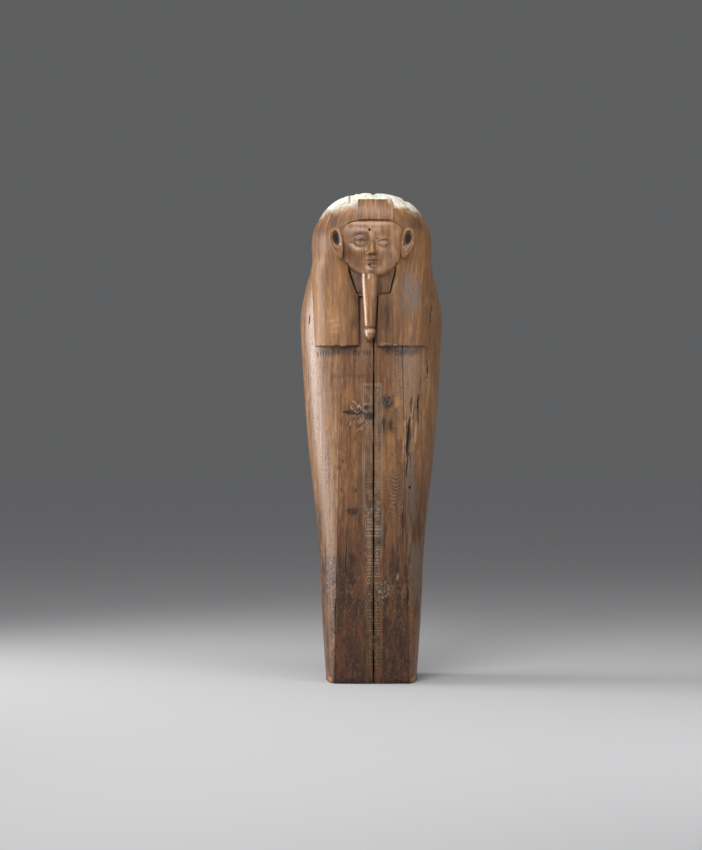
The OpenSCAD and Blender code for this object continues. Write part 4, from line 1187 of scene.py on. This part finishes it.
def brow_patch():
    low, high = corners("brow_inset")
    middle, half = (low[0] + high[0]) / 2, (high[0] - low[0]) / 2
    z = rows_between(low[2], high[2], 1.8)
    across = np.linspace(-1, 1, 71)[None, :]
    arch = (1 - share(z, brow_z, brow_z + 106) ** 4) ** 0.25
    x = middle + across * half * np.where(across < 0, 1, arch)
    z = z + 0 * x
    marks = Marks(x)
    streak = smooth(0.5 * cloud(x, z, 5, 110, 48) + 0.5 * cloud(x, z, 14, 90, 51), 0.5, 0.75)
    marks.tint = 0.45 * streak * between(x, -40, 80, 12)
    bright = bell(x - 10 - 3 * cloud(x, z, 20, 30, 67), 5) + smooth(x, 62, 76)
    marks.add(tint=0.85 * np.clip(bright, 0, 1) * cloud(x, z, 5, 60, 68))
    marks.spot(x, z, (66, 1856), (7, 15), pale=0.5)
    marks.stain = 0.45 * smooth(cloud(x, z, 6, 30, 49), 0.4, 0.8) * (1 - smooth(x, 20, 60))
    marks.low = 0.5 * cloud(x, z, 5, 90, 50)
    edge = np.minimum(np.abs(np.abs(across) - 1) * half, np.minimum(z - low[2], high[2] - z) + 0.5)
    edge_marks(marks, edge, z, depth=1.4, dirt=0.6)
    fall = 0.6 * rounding(np.maximum(z - brow_z, 0), z)
    hair = wig_face(x, z)
    front, back = (x, hair + patch_proud - fall - marks.low, z), (x, hair - patch_t, z)
    piece = solid_piece("brow_patch", front, back, x, z + 0.8 * (wig_deep - hair), marks)
    return finish(piece, "lid", "dark", "brow_inset")


patch = brow_patch()

# %% [markdown]
# ## The case
# The case is a trough with a flat back: two planks for the floor, two for the walls, and two curved blocks
# that close it round the head. It was never carved, so it shows only grain, drying cracks, worn edges and
# the ends of the pins that hold it. Boxes with bevelled edges would do from far away, but the same grids
# as for the lid follow the outline and let the wear run along every edge.

# %% Marks of the case, and its slimmer crown
case_d = corners("case_left_floor_plank")[1][1] - seam_y
case_head_z = corners("case_left_head_block")[0][2]
wall_d = case_d - plank_t
wall_columns = np.linspace(0, wall_d, 43)[None, :]
crown_turn = np.linspace(0, math.pi / 2, 56)[:, None]
crown_rows = head_z + head_rise * np.sin(crown_turn) ** (2 / head_power)
cracks_each, board_step = 5, 300


def case_marks(x, z, seed):
    """Grain, stains, a pale crown that is partly painted top light, and drying cracks along the grain."""
    marks = Marks(x)
    ridge_marks(marks, x + board_step * seed, z)
    marks.pale = 0.4 * marks.pale
    worn = smooth(0.6 * cloud(x, z, 50, 170, 60 + seed) + 0.4 * cloud(x, z, 8, 60, 70 + seed), 0.45, 0.75)
    marks.add(stain=0.6 * worn)
    draw = np.random.default_rng(seed)
    for number in range(cracks_each):
        foot_x, foot_z, length = draw.uniform(20, 150), draw.uniform(100, 1600), draw.uniform(60, 220)
        ends = [(foot_x, foot_z), (foot_x + 4, foot_z + length)]
        gap, along = track(x + 5 * cloud(x, z, 40, 18, 14), z, ends)
        marks.groove(gap, 2.4 * taper(along), 4 * taper(along), dirt=0.9)
    # A pale crown, as on the lid: partly pale weathered wood and partly painted top light.
    marks.add(pale=0.85 * smooth(z + 40 * cloud(x, z, 30, 50, 33), 1830, 1900))
    return marks


def wall_edges(marks, back, z):
    """Wear along the rim, the floor's edge and the joint between wall and head block."""
    edge_marks(marks, back, z, depth=1.2, dirt=0.2)
    edge_marks(marks, wall_d - back, z, depth=1.2)
    edge_marks(marks, np.abs(case_head_z - z), back)


def slim_crown(x, z):
    """Draws the head of the case in, so that it stays behind the worn crown of the lid."""
    keep = 1 - 0.03 * smooth(z, 1820, 1890)
    return x * keep * (1 - 0.03 * between(z, 1770, 1880, 40)), head_z + (z - head_z) * keep


print("The case is", case_d, "mm deep behind the seam")

# %% Walls of the case, with slots for the rim tenons and holes for their pegs
tenon_peg_d, wall_drill = -22, 60
foot_pin_z, foot_pin_ds = 22, (-60, -120)


def case_wall(side, name, node):
    z, back = np.broadcast_arrays(rows_between(0, case_head_z - 0.2, 4), wall_columns)
    marks = case_marks(back, z, 3 + side)
    foot_marks(marks, back + board_step, z)
    wall_edges(marks, back, z)
    wide = half_width(z)
    outer = (side * (wide - marks.low), -back, z)
    inner = (side * (wide - plank_t + hewn(back, z)), -back, z)
    piece = solid_piece(name, outer, inner, back + 600 * side, z, marks, side)
    cut_boxes(piece, [(side * plank_middle(h), 0, h) for h in tenon_zs], slot_size)
    pegs = [(side * plank_middle(h), tenon_peg_d, h) for h in tenon_zs]
    pins = [(side * plank_middle(foot_pin_z), d, foot_pin_z) for d in foot_pin_ds]
    cut_rods(piece, pegs, peg_hole, wall_drill, sideways)
    cut_rods(piece, pins, pin_hole, wall_drill, sideways)
    return finish(piece, "case", "plank", node)


walls = [case_wall(side, f"{word}_case_wall", f"case_{word}_side_plank") for word, side in SIDES.items()]

# %% Floor of the case, with the holes of its pins
floor_pin_zs, floor_drill = (100, 400, 720, 1010, 1300, 1560, 1690), 80


def case_floor(side, name, node):
    rows = np.concatenate([rows_between(0, head_z - 5, 5), crown_rows])
    edge_x, edge_z = slim_crown(half_width(rows), rows)
    x = mix(0.4, np.maximum(edge_x, 0.8), np.linspace(0, 1, 53)[None, :])
    z = edge_z + 0 * x
    marks = case_marks(x, z, 7 + side)
    edge_marks(marks, x, z)
    edge_marks(marks, edge_x - x, z, dirt=0.2)
    outer, inner = (side * x, marks.low - case_d, z), (side * x, -wall_d - hewn(x, z), z)
    piece = solid_piece(name, outer, inner, side * x, z, marks, -side)
    pins = [(side * plank_middle(h), -case_d, h) for h in floor_pin_zs]
    cut_rods(piece, pins, pin_hole, floor_drill, backward)
    return finish(piece, "case", "plank", node)


floors = [case_floor(side, f"{word}_case_floor", f"case_{word}_floor_plank") for word, side in SIDES.items()]

# %% Head blocks of the case
def case_head(side, name, node):
    rows = np.concatenate([rows_between(case_head_z + 0.2, head_z - 4, 4), crown_rows])
    z, back = np.broadcast_arrays(rows, wall_columns)
    marks = case_marks(back, z, 11 + side)
    wall_edges(marks, back, z)
    wide = half_width(z)
    lean = share(z, head_z, crown_z) ** (head_power - 1)
    out_x, out_z = slim_crown(wide - marks.low * (1 - lean), z - marks.low * lean)
    hole_z = np.minimum(z, head_z) + np.maximum(z - head_z, 0) * (head_rise - plank_t) / head_rise
    in_x, in_z = slim_crown(half_width(hole_z, plank_t), hole_z)
    outer = (side * np.maximum(out_x, 0.3), -back, out_z)
    inner = (side * np.maximum(in_x, 0.3), -back, in_z)
    round_way = np.maximum(z - head_z, 0) + (head_half - wide) * (z > head_z)
    along = np.minimum(z, head_z) + round_way
    piece = solid_piece(name, outer, inner, back + 900 * side, along, marks, side)
    close(piece)
    return finish(piece, "case", "plank", node)


heads = [case_head(side, f"{word}_case_head", f"case_{word}_head_block") for word, side in SIDES.items()]

# %% [markdown]
# ## The wood
# The planks are a dense brown wood, rubbed and waxed, with fine fibres, broad streaks and slow changes of
# tone along the grain. One node group makes those three patterns, by stretching noise along the grain, and
# a second one turns them and the marks into a colour. Each piece then has its own wood: the same two
# groups with other colours. Painting an image would also work, but nodes stay sharp at any distance.

# %% Helpers for nodes, and the fibres of the wood
def put(tree, kind, inputs=None, **settings):
    """Adds a node with its settings, and sets or links its inputs."""
    node = tree.nodes.new(kind)
    for key, value in settings.items():
        setattr(node, key, value)
    for key, value in (inputs or {}).items():
        if isinstance(value, bpy.types.NodeSocket):
            tree.links.new(value, node.inputs[key])
        else:
            node.inputs[key].default_value = value
    return node


def group(name, inputs, outputs):
    """Starts a shader node group and returns it with its inside ends."""
    tree = bpy.data.node_groups.new(name, "ShaderNodeTree")
    for way, sockets in (("INPUT", inputs), ("OUTPUT", outputs)):
        for label, kind in sockets.items():
            tree.interface.new_socket(label, in_out=way, socket_type="NodeSocket" + kind)
    return tree, tree.nodes.new("NodeGroupInput").outputs, tree.nodes.new("NodeGroupOutput").inputs


def ramp(tree, value, low, high, to_low=0.0, to_high=1.0):
    """Spreads the values from low to high over another range."""
    names = {"Value": value, "From Min": low, "From Max": high, "To Min": to_low, "To Max": to_high}
    return put(tree, "ShaderNodeMapRange", names, interpolation_type="SMOOTHSTEP").outputs["Result"]


def blend(tree, factor, a, b, mode="MIX"):
    return put(tree, "ShaderNodeMix", {0: factor, 6: a, 7: b}, data_type="RGBA", blend_type=mode).outputs[2]


def math_node(tree, operation, a, b):
    return put(tree, "ShaderNodeMath", {0: a, 1: b}, operation=operation).outputs[0]


def stretched(place, stretch, scale, detail, twist=0.0, rough=0.5):
    """Noise drawn out along the grain."""
    vector = put(fibres, "ShaderNodeVectorMath", {0: place, 1: (1, 1, stretch)}, operation="MULTIPLY")
    settings = {"Vector": vector.outputs[0], "Scale": scale, "Detail": detail, "Distortion": twist,
                "Roughness": rough}
    return put(fibres, "ShaderNodeTexNoise", settings).outputs["Fac"]


patterns = {"Fibre": "Float", "Streak": "Float", "Cloud": "Float"}
fibres, given, out = group("wood_fibres", {"Place": "Vector"}, {**patterns, "Height": "Float"})
fine = ramp(fibres, stretched(given["Place"], 0.03, 480, 3), 0.3, 0.7)
broad = math_node(fibres, "MULTIPLY", stretched(given["Place"], 0.06, 55, 8, 0.3, 0.68), 0.65)
mottle = math_node(fibres, "MULTIPLY", stretched(given["Place"], 0.3, 70, 6, 0.8, 0.6), 0.35)
streak = ramp(fibres, math_node(fibres, "ADD", broad, mottle), 0.36, 0.64)
slow = ramp(fibres, stretched(given["Place"], 0.4, 6, 4, 0.5), 0.3, 0.7)
height = math_node(fibres, "ADD", math_node(fibres, "MULTIPLY", fine, 0.55), streak)
for label, result in {"Fibre": fine, "Streak": streak, "Cloud": slow, "Height": height}.items():
    fibres.links.new(result, out[label])
print("Group", fibres.name, "has", len(fibres.nodes), "nodes")

# %% The colour of old wood
def shade(red, green, blue):
    """A colour from its screen values, made linear as the shader needs it."""
    values = [value / 255 for value in (red, green, blue)]
    return tuple(v / 12.92 if v < 0.04045 else ((v + 0.055) / 1.055) ** 2.4 for v in values) + (1,)


# Tones for stains with painted shade, for warm tints that also paint rim light on the hair, for grey, for
# pale wear with painted top light and highlights, and for grime with painted shade.
stain_and_shade_tone, warm, grey = shade(112, 92, 74), shade(190, 132, 78), shade(112, 106, 102)
pale_and_top_light_tone, dirt_and_shade_tone = shade(230, 228, 214), shade(38, 23, 13)
tones = {"Dark": "Color", "Middle": "Color", "Light": "Color"}
wear = {"Dirt": "Float", "Pale": "Float", "Stain": "Float", "Tint": "Float"}
aged, given, out = group("aged_wood", {**patterns, **tones, **wear}, {"Color": "Color"})
tone = blend(aged, ramp(aged, given["Streak"], 0.0, 0.55, 0.05, 1), given["Dark"], given["Middle"])
tone = blend(aged, ramp(aged, given["Streak"], 0.5, 0.95, 0, 1), tone, given["Light"])
tone = blend(aged, ramp(aged, given["Cloud"], 0, 1, 0.4, 0), tone, given["Dark"])
tone = blend(aged, ramp(aged, given["Fibre"], 0.5, 0.0, 0, 0.45), tone, given["Dark"])
tone = blend(aged, given["Stain"], tone, stain_and_shade_tone, "MULTIPLY")
tone = blend(aged, ramp(aged, given["Tint"], 0.5, 1.0, 0, 0.8), tone, warm)
tone = blend(aged, ramp(aged, given["Tint"], 0.5, 0.0, 0, 0.85), tone, grey)
# Pale wear, with painted top light on the crowns and a painted highlight on the beard's tip.
pale_and_top_light = math_node(aged, "MULTIPLY", given["Pale"], ramp(aged, given["Streak"], 0.0, 0.6, 0.75, 1.0))
tone = blend(aged, pale_and_top_light, tone, pale_and_top_light_tone)
tone = blend(aged, given["Dirt"], tone, dirt_and_shade_tone)
aged.links.new(tone, out["Color"])
print("Group", aged.name, "has", len(aged.nodes), "nodes")

# %% A wood for each kind of piece
wax, wax_rough, worn_rough = 0.12, 0.22, 0.8
foot_from, foot_to = 0.95, 0.05
bump_settings = {"Strength": 0.35, "Distance": 0.0007}


def wood(name, dark, middle, light, foot=None, shine=(0.3, 0.5), turn=(0, 0, 0), marked=True):
    """A waxed wood of three tones, darker toward the foot where a foot tone is given."""
    material = bpy.data.materials.new(name)
    material.use_nodes = True
    tree = material.node_tree
    surface = tree.nodes["Principled BSDF"].inputs
    if marked:
        place = put(tree, "ShaderNodeAttribute", attribute_name="grain").outputs["Vector"]
    else:
        place = put(tree, "ShaderNodeTexCoord").outputs["Object"]
        place = put(tree, "ShaderNodeMapping", {"Vector": place, "Rotation": turn}).outputs[0]
    grain = put(tree, "ShaderNodeGroup", {"Place": place}, node_tree=fibres).outputs
    inputs = {label: grain[label] for label in patterns}
    inputs.update({"Dark": shade(*dark), "Middle": shade(*middle), "Light": shade(*light), "Tint": 0.5})
    rough = ramp(tree, grain["Streak"], 0.0, 1.0, *shine)
    surface["Coat Weight"].default_value = wax
    surface["Coat Roughness"].default_value = wax_rough
    if marked:
        layer = put(tree, "ShaderNodeAttribute", attribute_name="marks").outputs
        parts = put(tree, "ShaderNodeSeparateColor", {"Color": layer["Color"]}).outputs
        inputs.update({"Dirt": parts[0], "Pale": parts[1], "Stain": parts[2], "Tint": layer["Alpha"]})
        dull = math_node(tree, "MAXIMUM", parts[0], parts[1])
        rough = put(tree, "ShaderNodeMix", {0: dull, 2: rough, 3: worn_rough}, data_type="FLOAT").outputs[0]
        tree.links.new(ramp(tree, dull, 0.0, 0.6, wax, 0.0), surface["Coat Weight"])
    colour = put(tree, "ShaderNodeGroup", inputs, node_tree=aged).outputs["Color"]
    if foot:
        up = put(tree, "ShaderNodeSeparateXYZ", {0: place}).outputs["Z"]
        colour = blend(tree, ramp(tree, up, foot_from, foot_to), colour, shade(*foot), "MULTIPLY")
    tree.links.new(colour, surface["Base Color"])
    tree.links.new(rough, surface["Roughness"])
    bump = put(tree, "ShaderNodeBump", {**bump_settings, "Height": grain["Height"]})
    tree.links.new(bump.outputs["Normal"], surface["Normal"])
    return material


front_wood = wood("front_wood", (98, 63, 38), (126, 86, 52), (150, 107, 68), foot=(176, 138, 66))
side_wood = wood("side_wood", (112, 77, 50), (138, 99, 66), (158, 118, 81), foot=(208, 177, 130))
wig_wood = wood("wig_wood", (106, 68, 36), (138, 96, 57), (168, 122, 78), shine=(0.58, 0.76))
face_wood = wood("face_wood", (124, 86, 58), (154, 112, 78), (174, 131, 94), shine=(0.26, 0.4))
beard_wood = wood("beard_wood", (120, 82, 54), (150, 109, 76), (174, 131, 95), shine=(0.18, 0.32))
patch_wood = wood("patch_wood", (102, 65, 38), (134, 90, 53), (166, 117, 70), shine=(0.42, 0.6))
case_wood = wood("case_wood", (92, 61, 39), (120, 85, 55), (144, 106, 71))
foot_wood = wood("foot_wood", (58, 40, 28), (84, 60, 42), (106, 80, 57), turn=sideways, marked=False)
pin_wood = wood("pin_wood", (66, 44, 29), (92, 64, 42), (116, 84, 57), marked=False)
dark_pin = wood("dark_pin_wood", (20, 14, 11), (30, 21, 15), (42, 30, 22), shine=(0.6, 0.8), marked=False)
dressed = {front_wood: fronts, side_wood: sides, wig_wood: wigs, face_wood: [mask, *ears],
           beard_wood: [beard], patch_wood: [patch], case_wood: walls + floors + heads}
for material, pieces in dressed.items():
    for piece in pieces:
        piece.data.materials.clear()
        piece.data.materials.append(material)
for name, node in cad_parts.items():
    for place in node.material_slots:
        place.material = foot_wood if "foot_board" in name else dark_pin if name == "face_pegs" else pin_wood
print("Woods:", len(bpy.data.materials))

# %% [markdown]
# ## Floor, light and camera
# The coffin stands on a plain pale floor. A tall soft light from the left draws the long sheen down the
# side and the beard, a light from above brightens the crown, and a weak one fills the right. The camera
# looks straight at the front from eight metres, so the lines stay nearly parallel.

# %% Floor and world
floor_size, floor_tone, floor_rough = 60, (0.62, 0.62, 0.63, 1), 0.8
light_tone, backdrop_tone = (0.17, 0.172, 0.175, 1), (0.1115, 0.113, 0.1155, 1)
deselect()
bpy.ops.mesh.primitive_plane_add(size=floor_size, location=(0, 0, 0))
floor = bpy.context.object
floor.name = "floor"
pale = bpy.data.materials.new("pale_floor")
pale.use_nodes = True
pale_surface = pale.node_tree.nodes["Principled BSDF"].inputs
pale_surface["Base Color"].default_value = floor_tone
pale_surface["Roughness"].default_value = floor_rough
floor.data.materials.append(pale)
world = bpy.data.worlds.new("studio")
world.use_nodes = True
seen = put(world.node_tree, "ShaderNodeLightPath").outputs["Is Camera Ray"]
sky = blend(world.node_tree, seen, light_tone, backdrop_tone)
world.node_tree.links.new(sky, world.node_tree.nodes["Background"].inputs["Color"])
bpy.context.scene.world = world
bpy.context.scene.view_settings.view_transform = "Standard"
print("Floor of", floor_size, "metres and a grey studio")

# %% Lamps
def soft_light(name, place, target, width, height, watts, spread=180):
    """A rectangular soft light that looks at a target."""
    lamp = bpy.data.lights.new(name, "AREA")
    lamp.shape, lamp.size, lamp.size_y, lamp.energy = "RECTANGLE", width, height, watts
    lamp.spread = math.radians(spread)
    holder = bpy.data.objects.new(name, lamp)
    bpy.context.collection.objects.link(holder)
    holder.location = place
    way = [t - p for t, p in zip(target, place)]
    turn = math.atan2(way[0], -way[1])
    holder.rotation_euler = (math.acos(-way[2] / math.hypot(*way)), 0, turn + math.pi)
    print(name, "at", place, "with", watts, "watts")


soft_light("tall_left", (-4.0, 0.3, 1.5), (0, -0.05, 1.05), 1.9, 2.4, 58, spread=100)
soft_light("front", (-1.3, -3.9, 3.4), (0, 0, 0.95), 2.2, 2.0, 122)
soft_light("right", (2.6, -2.2, 1.7), (0, 0, 1.0), 1.6, 2.0, 32)
soft_light("top", (-0.2, -0.5, 3.5), (0, 0, 1.75), 1.4, 1.0, 24)

# %% Camera
picture_height, pixel_mm = 850, 3.913
camera_away, camera_x, camera_z = 8.0, -0.080, 0.996
lens_height = 24
camera = bpy.data.objects.new("camera", bpy.data.cameras.new("camera"))
bpy.context.collection.objects.link(camera)
camera.location = (camera_x, seam_y * MM - camera_away, camera_z)
camera.rotation_euler = (math.pi / 2, 0, 0)
camera.data.sensor_fit, camera.data.sensor_height = "VERTICAL", lens_height
camera.data.lens = lens_height * camera_away / (picture_height * pixel_mm * MM)
bpy.context.scene.camera = camera
print("Camera with a lens of", round(camera.data.lens, 1), "mm")
